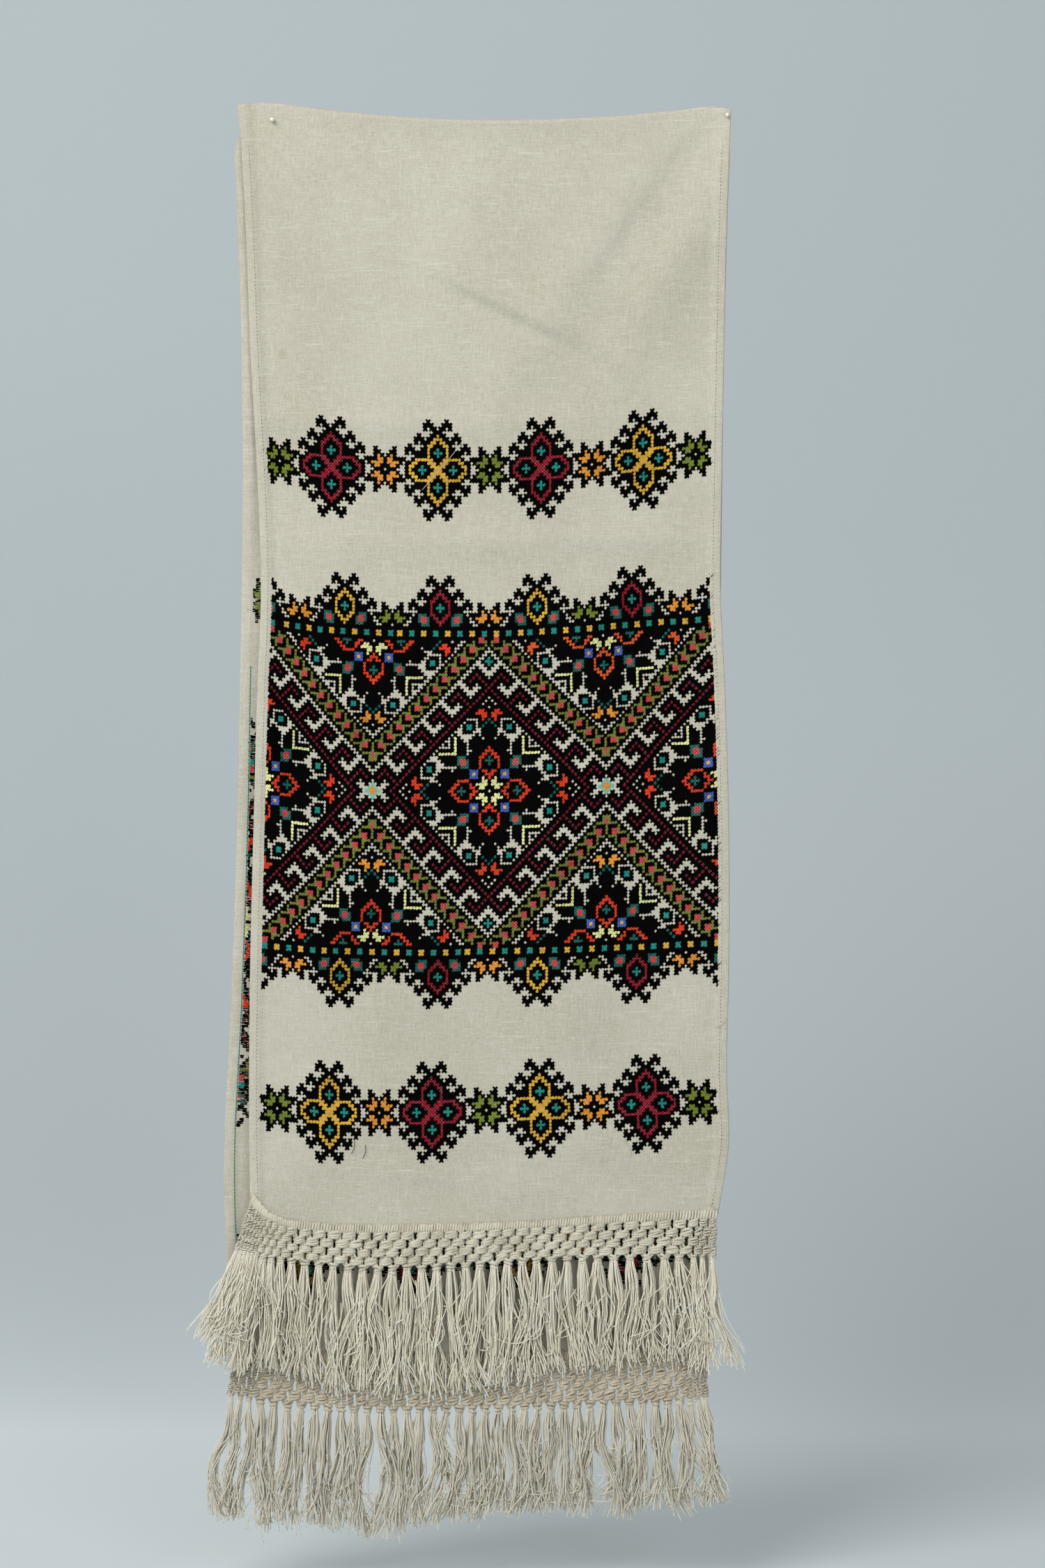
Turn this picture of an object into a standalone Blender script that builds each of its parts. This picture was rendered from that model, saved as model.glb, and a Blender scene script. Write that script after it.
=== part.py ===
"""Embroidered linen ritual towel, folded double at its top edge and hung by two ball-headed pins.

Metres, +Z up, +X to the viewer's right. The front panel faces -Y. The origin is the lowest point of
the sagging top fold, midway between the two pins.
"""

import math
from collections import namedtuple

import bmesh
import bpy
import numpy as np

# Driving dimensions
CLOTH_THICKNESS = 0.001
HEM_THICKNESS = 0.002
HEM_WIDTH = 0.0085
HEM_STEP = 0.0017
FRONT_LENGTH = 0.844
BACK_LENGTH = 0.946
FOLD_RADIUS_AT_PINS = 0.0017
FOLD_RADIUS_AT_MIDDLE = 0.0036
FOLD_STEPS = 6
ROWS_NEAR_FOLD = (0.022, 0.040, 0.068, 0.100)
ROW_SPACING = 0.044
FIRST_INNER_COLUMN = 0.14
LAST_INNER_COLUMN = 0.93
INNER_COLUMNS = 11
LAYER_HALF_GAP = 0.0022
ROLL_DEPTH = 0.012
PINNED_DEPTH = 0.018
FRONT_STANDOFF = 0.004
NEAREST_TO_BACK = -0.0015
KNOTTED_EDGE_GAP = 0.0006
TASSELS = 39
LOCKS = 3
GAP_SHARE = 0.34
PIN_HEAD_RADIUS = 0.00175
PIN_SHAFT_RADIUS = 0.0004
PIN_POINT_LENGTH = 0.002
PIN_LENGTH = 0.015
PIN_SIDES = 8
PIN_HEAD_STEPS = 5
PIN_HOLE_HALF = 0.0009
PIN_CLEARANCE = 0.0004
MERGE_WITHIN = 0.00002
SHARP_ANGLE_DEG = 40

# The top fold: how high it stands above its middle, across the cloth's width.
Rise = namedtuple("Rise", "across height")
TOP_FOLD = [
    Rise(0.00, 0.0111),
    Rise(0.05, 0.0130),
    Rise(0.13, 0.0098),
    Rise(0.23, 0.0055),
    Rise(0.36, 0.0017),
    Rise(0.50, 0.0000),
    Rise(0.64, 0.0006),
    Rise(0.78, 0.0032),
    Rise(0.90, 0.0074),
    Rise(0.96, 0.0098),
    Rise(1.00, 0.0076),
]

# The side edges of each panel, by the distance below the origin.
Edge = namedtuple("Edge", "drop left right")
FRONT_EDGES = [
    Edge(-0.011, -0.1875, 0.1875),
    Edge(0.010, -0.1858, 0.1867),
    Edge(0.068, -0.1822, 0.1845),
    Edge(0.174, -0.1780, 0.1820),
    Edge(0.280, -0.1722, 0.1801),
    Edge(0.349, -0.1698, 0.1791),
    Edge(0.440, -0.1728, 0.1830),
    Edge(0.523, -0.1750, 0.1854),
    Edge(0.650, -0.1780, 0.1854),
    Edge(0.724, -0.1786, 0.1838),
    Edge(0.777, -0.1786, 0.1853),
    Edge(0.832, -0.1770, 0.1770),
]
BACK_EDGES = [
    Edge(-0.011, -0.1875, 0.1875),
    Edge(0.010, -0.1900, 0.1872),
    Edge(0.050, -0.1890, 0.1856),
    Edge(0.150, -0.1855, 0.1828),
    Edge(0.340, -0.1846, 0.1800),
    Edge(0.440, -0.1865, 0.1790),
    Edge(0.540, -0.1885, 0.1780),
    Edge(0.670, -0.1930, 0.1750),
    Edge(0.800, -0.1985, 0.1720),
    Edge(0.940, -0.1920, 0.1690),
]

# The lower edge of each panel, where the knotted fringe starts.
Hem = namedtuple("Hem", "x drop")
FRONT_HEM = [
    Hem(-0.177, 0.8170),
    Hem(-0.167, 0.8285),
    Hem(-0.155, 0.8355),
    Hem(-0.130, 0.8400),
    Hem(-0.060, 0.8415),
    Hem(0.020, 0.8395),
    Hem(0.100, 0.8345),
    Hem(0.177, 0.8305),
]
BACK_HEM = [
    Hem(-0.192, 0.9385),
    Hem(-0.100, 0.9415),
    Hem(0.000, 0.9412),
    Hem(0.100, 0.9385),
    Hem(0.169, 0.9360),
]

# Soft folds, as long ridges (rise above zero, towards the side that the panel faces) or troughs.
Fold = namedtuple("Fold", "x drop lean_deg half_length width rise")
FRONT_FOLDS = [
    Fold(0.135, 0.070, -30, 0.110, 0.020, -0.0010),
    Fold(0.158, 0.090, -28, 0.110, 0.022, 0.0034),
    Fold(0.075, 0.110, -32, 0.110, 0.022, 0.0028),
    Fold(-0.135, 0.045, 38, 0.060, 0.014, 0.0022),
    Fold(0.018, 0.135, 61, 0.065, 0.010, 0.0022),
    Fold(-0.060, 0.232, 88, 0.120, 0.012, 0.0016),
    Fold(0.020, 0.322, 92, 0.160, 0.014, 0.0018),
    Fold(-0.090, 0.480, 4, 0.240, 0.040, 0.0030),
    Fold(0.060, 0.560, -3, 0.260, 0.045, 0.0034),
    Fold(0.160, 0.640, 5, 0.160, 0.026, 0.0030),
    Fold(-0.030, 0.760, 80, 0.140, 0.020, 0.0018),
    Fold(-0.178, 0.832, 0, 0.030, 0.026, 0.0090),
]
BACK_FOLDS = [
    Fold(-0.060, 0.300, 5, 0.280, 0.040, 0.0016),
    Fold(0.090, 0.420, -4, 0.300, 0.045, 0.0018),
    Fold(-0.170, 0.640, 2, 0.240, 0.030, 0.0016),
    Fold(0.020, 0.800, 6, 0.200, 0.045, 0.0016),
]

# The knotted fringe, by the share of its width: where the knots end and where the tassel tips hang.
Fringe = namedtuple("Fringe", "share top_x low_x low_drop tip_x tip_drop")
FRONT_FRINGE = [
    Fringe(0.00, -0.1765, -0.1880, 0.8545, -0.2130, 0.9270),
    Fringe(0.07, -0.1665, -0.1735, 0.8580, -0.1900, 0.9400),
    Fringe(0.15, -0.1550, -0.1565, 0.8625, -0.1650, 0.9490),
    Fringe(0.30, -0.0992, -0.1000, 0.8695, -0.1035, 0.9620),
    Fringe(0.50, -0.0230, -0.0230, 0.8680, -0.0240, 0.9595),
    Fringe(0.70, 0.0542, 0.0537, 0.8630, 0.0553, 0.9475),
    Fringe(0.85, 0.1129, 0.1124, 0.8617, 0.1161, 0.9437),
    Fringe(1.00, 0.1765, 0.1755, 0.8617, 0.1838, 0.9445),
]
BACK_FRINGE = [
    Fringe(0.00, -0.1900, -0.1955, 0.9665, -0.2145, 1.0550),
    Fringe(0.05, -0.1735, -0.1765, 0.9705, -0.1860, 1.0620),
    Fringe(0.15, -0.1372, -0.1383, 0.9750, -0.1430, 1.0655),
    Fringe(0.35, -0.0642, -0.0648, 0.9780, -0.0664, 1.0680),
    Fringe(0.55, 0.0087, 0.0087, 0.9770, 0.0080, 1.0585),
    Fringe(0.75, 0.0817, 0.0817, 0.9740, 0.0820, 1.0520),
    Fringe(0.90, 0.1346, 0.1362, 0.9718, 0.1425, 1.0537),
    Fringe(1.00, 0.1680, 0.1698, 0.9690, 0.1843, 1.0510),
]

# The bars of knots in a fringe's heading, from its sewn edge down: how far down and how thick.
Bar = namedtuple("Bar", "share thickness")
BARS = [
    Bar(0.00, 0.0030),
    Bar(0.19, 0.0030),
    Bar(0.37, 0.0027),
    Bar(0.55, 0.0040),
    Bar(0.70, 0.0028),
    Bar(0.85, 0.0040),
    Bar(1.00, 0.0032),
]
GAP_ROW = 1

# A tassel's locks, from the knots down: share of the way to the tip, and each lock's size there.
Lock = namedtuple("Lock", "share width depth spread")
LOCK_STEPS = [
    Lock(0.08, 0.0016, 0.0026, 0.0020),
    Lock(0.42, 0.0024, 0.0032, 0.0028),
    Lock(1.00, 0.0017, 0.0020, 0.0030),
]
LOCK_SWAY = 0.0012
TIP_UNEVEN = 0.004
FRONT_TIPS_BACK = 0.002
CORNER_TIPS_BACK = 0.006
CORNER_STANDS_OUT = 0.012

# The pins, by the share of the cloth's width and the distance below the fold there.
Pin = namedtuple("Pin", "across below_fold")
PINS = {"pin_left": Pin(0.0677, 0.0134), "pin_right": Pin(0.9925, 0.0049)}


def clear_scene():
    for obj in list(bpy.data.objects):
        bpy.data.objects.remove(obj, do_unlink=True)


def material(name, colour, roughness, metallic=0.0):
    made = bpy.data.materials.new(name)
    made.use_nodes = True
    shader = made.node_tree.nodes["Principled BSDF"]
    shader.inputs["Base Color"].default_value = (*colour, 1.0)
    shader.inputs["Roughness"].default_value = roughness
    shader.inputs["Metallic"].default_value = metallic
    return made


def add_object(name, mesh, finish, smooth=True):
    made = bpy.data.objects.new(name, mesh)
    bpy.context.scene.collection.objects.link(made)
    mesh.materials.append(finish)
    if smooth:
        mesh.shade_smooth()
        mesh.set_sharp_from_angle(angle=math.radians(SHARP_ANGLE_DEG))
    return made


def smooth_step(t):
    t = min(max(t, 0.0), 1.0)
    return t * t * (3 - 2 * t)


def smooth_curve(rows, column, at):
    """The value of a table's column at a key, on a smooth curve through the rows."""
    keys = np.array([row[0] for row in rows])
    values = np.array([getattr(row, column) for row in rows])
    slopes = np.gradient(values, keys)
    i = int(np.clip(np.searchsorted(keys, at) - 1, 0, len(keys) - 2))
    span = keys[i + 1] - keys[i]
    t = min(max((at - keys[i]) / span, 0.0), 1.0)
    start = values[i] * (1 + 2 * t) * (1 - t) ** 2 + slopes[i] * span * t * (1 - t) ** 2
    end = values[i + 1] * t * t * (3 - 2 * t) + slopes[i + 1] * span * t * t * (t - 1)
    return float(start + end)


def fold_relief(folds, x, drop):
    """How far the soft folds lift the cloth at a point."""
    total = 0.0
    for fold in folds:
        lean = math.radians(fold.lean_deg)
        dx, dz = x - fold.x, drop - fold.drop
        along = dx * math.sin(lean) + dz * math.cos(lean)
        across = dx * math.cos(lean) - dz * math.sin(lean)
        total += fold.rise * math.exp(-((across / fold.width) ** 2) - (along / fold.half_length) ** 2)
    return total


def fold_radius(across):
    """The top fold is pinched flat at the pins and rolls open between them."""
    return FOLD_RADIUS_AT_PINS + (FOLD_RADIUS_AT_MIDDLE - FOLD_RADIUS_AT_PINS) * math.sin(math.pi * across)


def half_gap(across, below_fold):
    """Half the distance between the two layers: the roll's radius at the top, then the usual gap."""
    roll = math.exp(-((below_fold / ROLL_DEPTH) ** 2))
    return LAYER_HALF_GAP + (fold_radius(across) - LAYER_HALF_GAP) * roll


def panel_point(front, across, below_fold):
    """A point on the middle surface of the front or back panel."""
    edges, hem = (FRONT_EDGES, FRONT_HEM) if front else (BACK_EDGES, BACK_HEM)
    length = FRONT_LENGTH if front else BACK_LENGTH
    top = smooth_curve(TOP_FOLD, "height", across)
    left_end, right_end = edges[-1].left, edges[-1].right
    hem_drop = smooth_curve(hem, "drop", left_end + (right_end - left_end) * across)
    extra = hem_drop + top - length
    drop = -top + below_fold + extra * smooth_step(below_fold / length)
    left = smooth_curve(FRONT_EDGES, "left", drop)
    right = smooth_curve(FRONT_EDGES, "right", drop)
    if not front:
        parted = smooth_step((below_fold - PINNED_DEPTH) / PINNED_DEPTH)
        left += (smooth_curve(edges, "left", drop) - left) * parted
        right += (smooth_curve(edges, "right", drop) - right) * parted
    x = left + (right - left) * across
    if front:
        away = half_gap(across, below_fold) + FRONT_STANDOFF * smooth_step(drop / length)
        fade = smooth_step(below_fold / (2 * ROLL_DEPTH))
        y = min(-away - fade * fold_relief(FRONT_FOLDS, x, drop), NEAREST_TO_BACK)
    else:
        fade = smooth_step(below_fold / (2 * ROLL_DEPTH))
        y = half_gap(across, below_fold) + fade * fold_relief(BACK_FOLDS, x, drop)
    return x, y, -drop


def fold_point(across, turn):
    """A point round the top fold: turn 0 is on the front panel, and 1 on the back."""
    radius = fold_radius(across)
    x, _, _ = panel_point(turn < 0.5, across, radius)
    top = smooth_curve(TOP_FOLD, "height", across)
    angle = math.pi * turn
    return x, -radius * math.cos(angle), top - radius + radius * math.sin(angle)


def cloth_columns():
    """Shares of the width at which the sheet has a line of points: hems, pin holes and an even spread."""
    width = FRONT_EDGES[0].right - FRONT_EDGES[0].left
    hem, step = HEM_WIDTH / width, (HEM_WIDTH + HEM_STEP) / width
    columns = {0.0, hem, step, 1 - step, 1 - hem, 1.0}
    for pin in PINS.values():
        columns |= {pin.across - PIN_HOLE_HALF / width, pin.across + PIN_HOLE_HALF / width}
    inner = np.linspace(FIRST_INNER_COLUMN, LAST_INNER_COLUMN, INNER_COLUMNS)
    return sorted(columns | {float(across) for across in inner})


def rows_below_fold(length):
    """Distances below the fold at which a panel has a row of points."""
    rows = set(ROWS_NEAR_FOLD)
    for pin in PINS.values():
        rows |= {pin.below_fold - PIN_HOLE_HALF, pin.below_fold + PIN_HOLE_HALF}
    first = ROWS_NEAR_FOLD[-1]
    steps = round((length - first) / ROW_SPACING)
    return sorted(rows | {first + (length - first) * i / steps for i in range(steps + 1)})


def is_pin_hole(across, below_fold):
    width = FRONT_EDGES[0].right - FRONT_EDGES[0].left
    return any(
        abs(across - pin.across) < 0.5 * PIN_HOLE_HALF / width
        and abs(below_fold - pin.below_fold) < 0.5 * PIN_HOLE_HALF
        for pin in PINS.values()
    )


def build_cloth(finish):
    """One sheet of linen: up the front panel, over the fold and down the back, with hemmed sides."""
    columns = cloth_columns()
    front_rows = [("front", d) for d in reversed(rows_below_fold(FRONT_LENGTH))]
    fold_rows = [("fold", i / FOLD_STEPS) for i in range(FOLD_STEPS + 1)]
    back_rows = [("back", d) for d in rows_below_fold(BACK_LENGTH)]
    rows = front_rows + fold_rows + back_rows
    bm = bmesh.new()
    grid = []
    for part, value in rows:
        if part == "fold":
            points = [fold_point(across, value) for across in columns]
        else:
            points = [panel_point(part == "front", across, value) for across in columns]
        grid.append([bm.verts.new(point) for point in points])
    for r in range(len(rows) - 1):
        same_part = rows[r][0] == rows[r + 1][0] != "fold"
        middle_row = 0.5 * (rows[r][1] + rows[r + 1][1])
        for c in range(len(columns) - 1):
            if same_part and is_pin_hole(0.5 * (columns[c] + columns[c + 1]), middle_row):
                continue
            bm.faces.new((grid[r][c], grid[r][c + 1], grid[r + 1][c + 1], grid[r + 1][c]))
    mesh = bpy.data.meshes.new("cloth")
    bm.to_mesh(mesh)
    bm.free()
    made = add_object("cloth", mesh, finish)
    thick = made.vertex_groups.new(name="hem")
    hem = HEM_WIDTH / (FRONT_EDGES[0].right - FRONT_EDGES[0].left) + 1e-6
    hem_columns = [c for c, across in enumerate(columns) if across <= hem or across >= 1 - hem]
    thick.add([r * len(columns) + c for r in range(len(rows)) for c in hem_columns], 1.0, "REPLACE")
    solid = made.modifiers.new("thickness", "SOLIDIFY")
    solid.thickness = HEM_THICKNESS
    solid.vertex_group = thick.name
    solid.thickness_vertex_group = CLOTH_THICKNESS / HEM_THICKNESS
    solid.offset = 0.0
    return made


def hem_line(front):
    """The straight-sided lower edge of the built cloth, as x, y and z of its points."""
    length = FRONT_LENGTH if front else BACK_LENGTH
    return np.array([panel_point(front, across, length) for across in cloth_columns()]).T


def heading_point(front, line, share, down):
    """A point on the middle surface of a fringe's knotted heading."""
    table = FRONT_FRINGE if front else BACK_FRINGE
    top_x = smooth_curve(table, "top_x", share)
    top_z = np.interp(top_x, line[0], line[2]) - KNOTTED_EDGE_GAP
    low_x = smooth_curve(table, "low_x", share)
    low_z = -smooth_curve(table, "low_drop", share)
    y = np.interp(top_x, line[0], line[1])
    return np.array((top_x + (low_x - top_x) * down, y, top_z + (low_z - top_z) * down))


def heading_columns():
    """Two lines of points for each tassel: the sides of the knots it hangs from."""
    shares = [0.0]
    for i in range(TASSELS):
        shares += [(i + 0.5 * GAP_SHARE) / TASSELS, (i + 1 - 0.5 * GAP_SHARE) / TASSELS]
    return shares + [1.0]


def build_fringe(name, front, finish):
    """A heading of knotted bars with one row of gaps, and under it the tassels, each of a few locks."""
    line = hem_line(front)
    columns = heading_columns()
    bm = bmesh.new()
    grid = [
        [bm.verts.new(heading_point(front, line, share, bar.share)) for share in columns]
        for bar in BARS
    ]
    half = {}
    for bar, row in zip(BARS, grid):
        half.update({vert: 0.5 * bar.thickness for vert in row})
    lower = grid[-1]
    roots = []
    for c in range(1, len(columns) - 1, 2):
        left, right = lower[c], lower[c + 1]
        inner = [bm.verts.new(left.co.lerp(right.co, k / LOCKS)) for k in range(1, LOCKS)]
        half.update({vert: 0.5 * BARS[-1].thickness for vert in inner})
        roots.append([left, *inner, right])
    for r in range(len(BARS) - 1):
        for c in range(len(columns) - 1):
            is_gap = r == GAP_ROW and c % 2 == 0 and 0 < c < len(columns) - 2
            if is_gap:
                continue
            below = [grid[r + 1][c], grid[r + 1][c + 1]]
            if r == len(BARS) - 2 and c % 2 == 1:
                below = roots[c // 2]
            bm.faces.new([grid[r][c + 1], grid[r][c], *below])
    bm.faces.ensure_lookup_table()
    fronts = list(half)
    back = bmesh.ops.extrude_face_region(bm, geom=list(bm.faces), use_keep_orig=True)
    backs = {vert for vert in back["geom"] if isinstance(vert, bmesh.types.BMVert)}
    by_place = {tuple(round(v, 7) for v in vert.co): half[vert] for vert in fronts}
    for vert in backs:
        vert.co.y += by_place[tuple(round(v, 7) for v in vert.co)]
    for vert in fronts:
        vert.co.y -= half[vert]
    bmesh.ops.recalc_face_normals(bm, faces=list(bm.faces))
    for i, root in enumerate(roots):
        for k in range(LOCKS):
            share = columns[2 * i + 1] + (columns[2 * i + 2] - columns[2 * i + 1]) * (k + 0.5) / LOCKS
            grow_lock(bm, front, find_root(bm, root[k], root[k + 1]), share, i, k)
    bmesh.ops.recalc_face_normals(bm, faces=list(bm.faces))
    mesh = bpy.data.meshes.new(name)
    bm.to_mesh(mesh)
    bm.free()
    return add_object(name, mesh, finish, smooth=False)


def find_root(bm, left, right):
    """The face under the heading, between two points of its lower front edge, that a lock grows from."""
    shared = set(left.link_faces) & set(right.link_faces)
    return min(shared, key=lambda face: face.normal.z)


def grow_lock(bm, front, face, share, tassel, k):
    """Extrudes one lock of yarn from its root to its tip, apart from its neighbours."""
    table = FRONT_FRINGE if front else BACK_FRINGE
    start = face.calc_center_median()
    middle = (LOCKS - 1) / 2
    uneven = math.sin(2.4 * tassel + 1.7 * k) + math.sin(5.1 * tassel + 0.6)
    tip_x = smooth_curve(table, "tip_x", (tassel + 0.5) / TASSELS)
    tip_z = -smooth_curve(table, "tip_drop", share) + 0.5 * TIP_UNEVEN * uneven
    low_x = smooth_curve(table, "low_x", (tassel + 0.5) / TASSELS)
    tips_back = FRONT_TIPS_BACK if front else 0.0
    tip_y = start.y + (CORNER_TIPS_BACK if start.y < -CORNER_STANDS_OUT else tips_back)
    for step in LOCK_STEPS:
        face = bmesh.ops.extrude_discrete_faces(bm, faces=[face])["faces"][0]
        sway = LOCK_SWAY * math.sin(math.pi * step.share) * math.sin(0.9 * tassel)
        centre_x = low_x + (tip_x - low_x) * step.share + (k - middle) * step.spread + sway
        centre_y = start.y + (tip_y - start.y) * step.share
        centre_z = start.z + (tip_z - start.z) * step.share
        corners = sorted(face.verts, key=lambda vert: vert.co.x)
        for side, pair in ((-1, corners[:2]), (1, corners[2:])):
            for depth_side, vert in zip((-1, 1), sorted(pair, key=lambda v: v.co.y)):
                vert.co.x = centre_x + 0.5 * side * step.width
                vert.co.y = centre_y + 0.5 * depth_side * step.depth
                vert.co.z = centre_z


def build_pin(name, pin, finish):
    """A ball-headed pin: the ball lies on the front panel, and the shank runs back through both layers."""
    x, y, z = panel_point(True, pin.across, pin.below_fold)
    face_y = y - 0.5 * HEM_THICKNESS - PIN_CLEARANCE
    ball_y = face_y - PIN_HEAD_RADIUS
    neck = math.asin(PIN_SHAFT_RADIUS / PIN_HEAD_RADIUS)
    profile = []
    for i in range(PIN_HEAD_STEPS + 1):
        angle = math.pi - (math.pi - neck) * i / PIN_HEAD_STEPS
        profile.append((PIN_HEAD_RADIUS * math.sin(angle), ball_y + PIN_HEAD_RADIUS * math.cos(angle)))
    profile[0] = (0.0, ball_y - PIN_HEAD_RADIUS)
    end_y = face_y + PIN_LENGTH
    profile += [(PIN_SHAFT_RADIUS, end_y - PIN_POINT_LENGTH), (0.0, end_y)]
    bm = bmesh.new()
    verts = [bm.verts.new((x + radius, along, z)) for radius, along in profile]
    edges = [bm.edges.new(pair) for pair in zip(verts, verts[1:])]
    bmesh.ops.spin(
        bm, geom=verts + edges, cent=(x, 0, z), axis=(0, 1, 0), angle=2 * math.pi, steps=PIN_SIDES
    )
    bmesh.ops.remove_doubles(bm, verts=list(bm.verts), dist=MERGE_WITHIN)
    bmesh.ops.recalc_face_normals(bm, faces=list(bm.faces))
    mesh = bpy.data.meshes.new(name)
    bm.to_mesh(mesh)
    bm.free()
    return add_object(name, mesh, finish)


clear_scene()
linen = material("linen", (0.62, 0.59, 0.50), 0.9)
cotton = material("cotton_yarn", (0.66, 0.63, 0.54), 0.95)
pin_ball = material("pin_ball", (0.75, 0.73, 0.66), 0.35)
build_cloth(linen)
build_fringe("front_fringe", True, cotton)
build_fringe("back_fringe", False, cotton)
for pin_name, place in PINS.items():
    build_pin(pin_name, place, pin_ball)
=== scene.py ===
"""Looks of the embroidered linen ritual towel that hangs double over two ball-headed pins."""

import math
from collections import namedtuple

import bpy
import numpy as np
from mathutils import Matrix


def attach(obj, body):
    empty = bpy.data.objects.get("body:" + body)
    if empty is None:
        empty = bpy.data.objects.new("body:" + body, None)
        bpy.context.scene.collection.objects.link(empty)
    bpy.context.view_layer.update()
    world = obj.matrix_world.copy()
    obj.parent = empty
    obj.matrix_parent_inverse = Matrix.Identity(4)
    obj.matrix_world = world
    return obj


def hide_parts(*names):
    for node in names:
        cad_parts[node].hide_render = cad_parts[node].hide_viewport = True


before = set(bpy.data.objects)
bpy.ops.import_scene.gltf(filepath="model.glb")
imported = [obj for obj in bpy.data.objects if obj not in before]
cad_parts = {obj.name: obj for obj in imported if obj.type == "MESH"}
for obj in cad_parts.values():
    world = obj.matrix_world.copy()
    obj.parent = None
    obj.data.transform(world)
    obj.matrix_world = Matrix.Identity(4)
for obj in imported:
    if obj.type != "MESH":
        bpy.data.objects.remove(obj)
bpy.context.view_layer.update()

# The linen. One length of plain-weave homespun, hemmed along both selvedges, folded double over its
# pins and hanging in soft folds. Its outline and its folds are those of the solid, drawn finer, with
# the sharper creases that it kept from lying folded in a chest.
CLOTH_FLAT = (0.375, 1.79)
CLOTH_THICKNESS = 0.0006
HEM_THICKNESS = 0.0017
HEM_WIDTH = 0.0085
HEM_STEP = 0.0009
HEM_LIP = 0.0009
LIP_THICKNESS_SHARE = 0.55
FRONT_LENGTH = 0.844
BACK_LENGTH = 0.946
FOLD_RADIUS_AT_PINS = 0.0017
FOLD_RADIUS_AT_MIDDLE = 0.0036
FOLD_STEPS = 12
LAYER_HALF_GAP = 0.0022
ROLL_DEPTH = 0.012
PINNED_DEPTH = 0.018
FRONT_STANDOFF = 0.004
NEAREST_TO_BACK = -0.0015
COLUMN_SPACING = 0.005
FRONT_ROW_SPACING = 0.0048
BACK_ROW_SPACING = 0.009
CREASED_DROPS = (0.095, 0.185)
ROWS_NEAR_FOLD = (0.0065, 0.0090, 0.0155, 0.0195, 0.0235)
EVEN_ROWS_FROM = 0.0275


def rows_of(kind, *rows):
    """The rows of a table, with the names of its columns."""
    return [kind(*row) for row in rows]


Rise = namedtuple("Rise", "across height")
TOP_FOLD = rows_of(
    Rise,
    (0.00, 0.0111), (0.05, 0.0130), (0.13, 0.0098), (0.23, 0.0055), (0.36, 0.0017), (0.50, 0.0000),
    (0.64, 0.0006), (0.78, 0.0032), (0.90, 0.0074), (0.96, 0.0098), (1.00, 0.0076),
)
Edge = namedtuple("Edge", "drop left right")
FRONT_EDGES = rows_of(
    Edge,
    (-0.011, -0.1875, 0.1875), (0.010, -0.1858, 0.1867), (0.068, -0.1822, 0.1845),
    (0.174, -0.1780, 0.1820), (0.280, -0.1722, 0.1801), (0.349, -0.1698, 0.1791),
    (0.440, -0.1728, 0.1830), (0.523, -0.1750, 0.1854), (0.650, -0.1780, 0.1854),
    (0.724, -0.1786, 0.1838), (0.777, -0.1786, 0.1853), (0.832, -0.1770, 0.1770),
)
BACK_EDGES = rows_of(
    Edge,
    (-0.011, -0.1875, 0.1875), (0.010, -0.1900, 0.1872), (0.050, -0.1890, 0.1856),
    (0.150, -0.1855, 0.1828), (0.340, -0.1846, 0.1800), (0.440, -0.1865, 0.1790),
    (0.540, -0.1885, 0.1780), (0.670, -0.1930, 0.1750), (0.800, -0.1985, 0.1720),
    (0.940, -0.1920, 0.1690),
)
Hem = namedtuple("Hem", "x drop")
FRONT_HEM = rows_of(
    Hem,
    (-0.177, 0.8170), (-0.167, 0.8285), (-0.155, 0.8355), (-0.130, 0.8400), (-0.060, 0.8415),
    (0.020, 0.8395), (0.100, 0.8345), (0.177, 0.8305),
)
BACK_HEM = rows_of(
    Hem,
    (-0.192, 0.9385), (-0.100, 0.9415), (0.000, 0.9412), (0.100, 0.9385), (0.169, 0.9360),
)
Fold = namedtuple("Fold", "x drop lean_deg half_length width rise")
FRONT_FOLDS = rows_of(
    Fold,
    (0.135, 0.070, -30, 0.110, 0.020, -0.0010), (0.158, 0.090, -28, 0.110, 0.022, 0.0034),
    (0.075, 0.110, -32, 0.110, 0.022, 0.0028), (-0.135, 0.045, 38, 0.060, 0.014, 0.0022),
    (0.018, 0.135, 61, 0.065, 0.010, 0.0022), (-0.060, 0.232, 88, 0.120, 0.012, 0.0016),
    (0.020, 0.322, 92, 0.160, 0.014, 0.0018), (-0.090, 0.480, 4, 0.240, 0.040, 0.0030),
    (0.060, 0.560, -3, 0.260, 0.045, 0.0034), (0.160, 0.640, 5, 0.160, 0.026, 0.0030),
    (-0.030, 0.760, 80, 0.140, 0.020, 0.0018), (-0.178, 0.832, 0, 0.030, 0.026, 0.0090),
)
BACK_FOLDS = rows_of(
    Fold,
    (-0.060, 0.300, 5, 0.280, 0.040, 0.0016), (0.090, 0.420, -4, 0.300, 0.045, 0.0018),
    (-0.170, 0.640, 2, 0.240, 0.030, 0.0016), (0.020, 0.800, 6, 0.200, 0.045, 0.0016),
)
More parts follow.
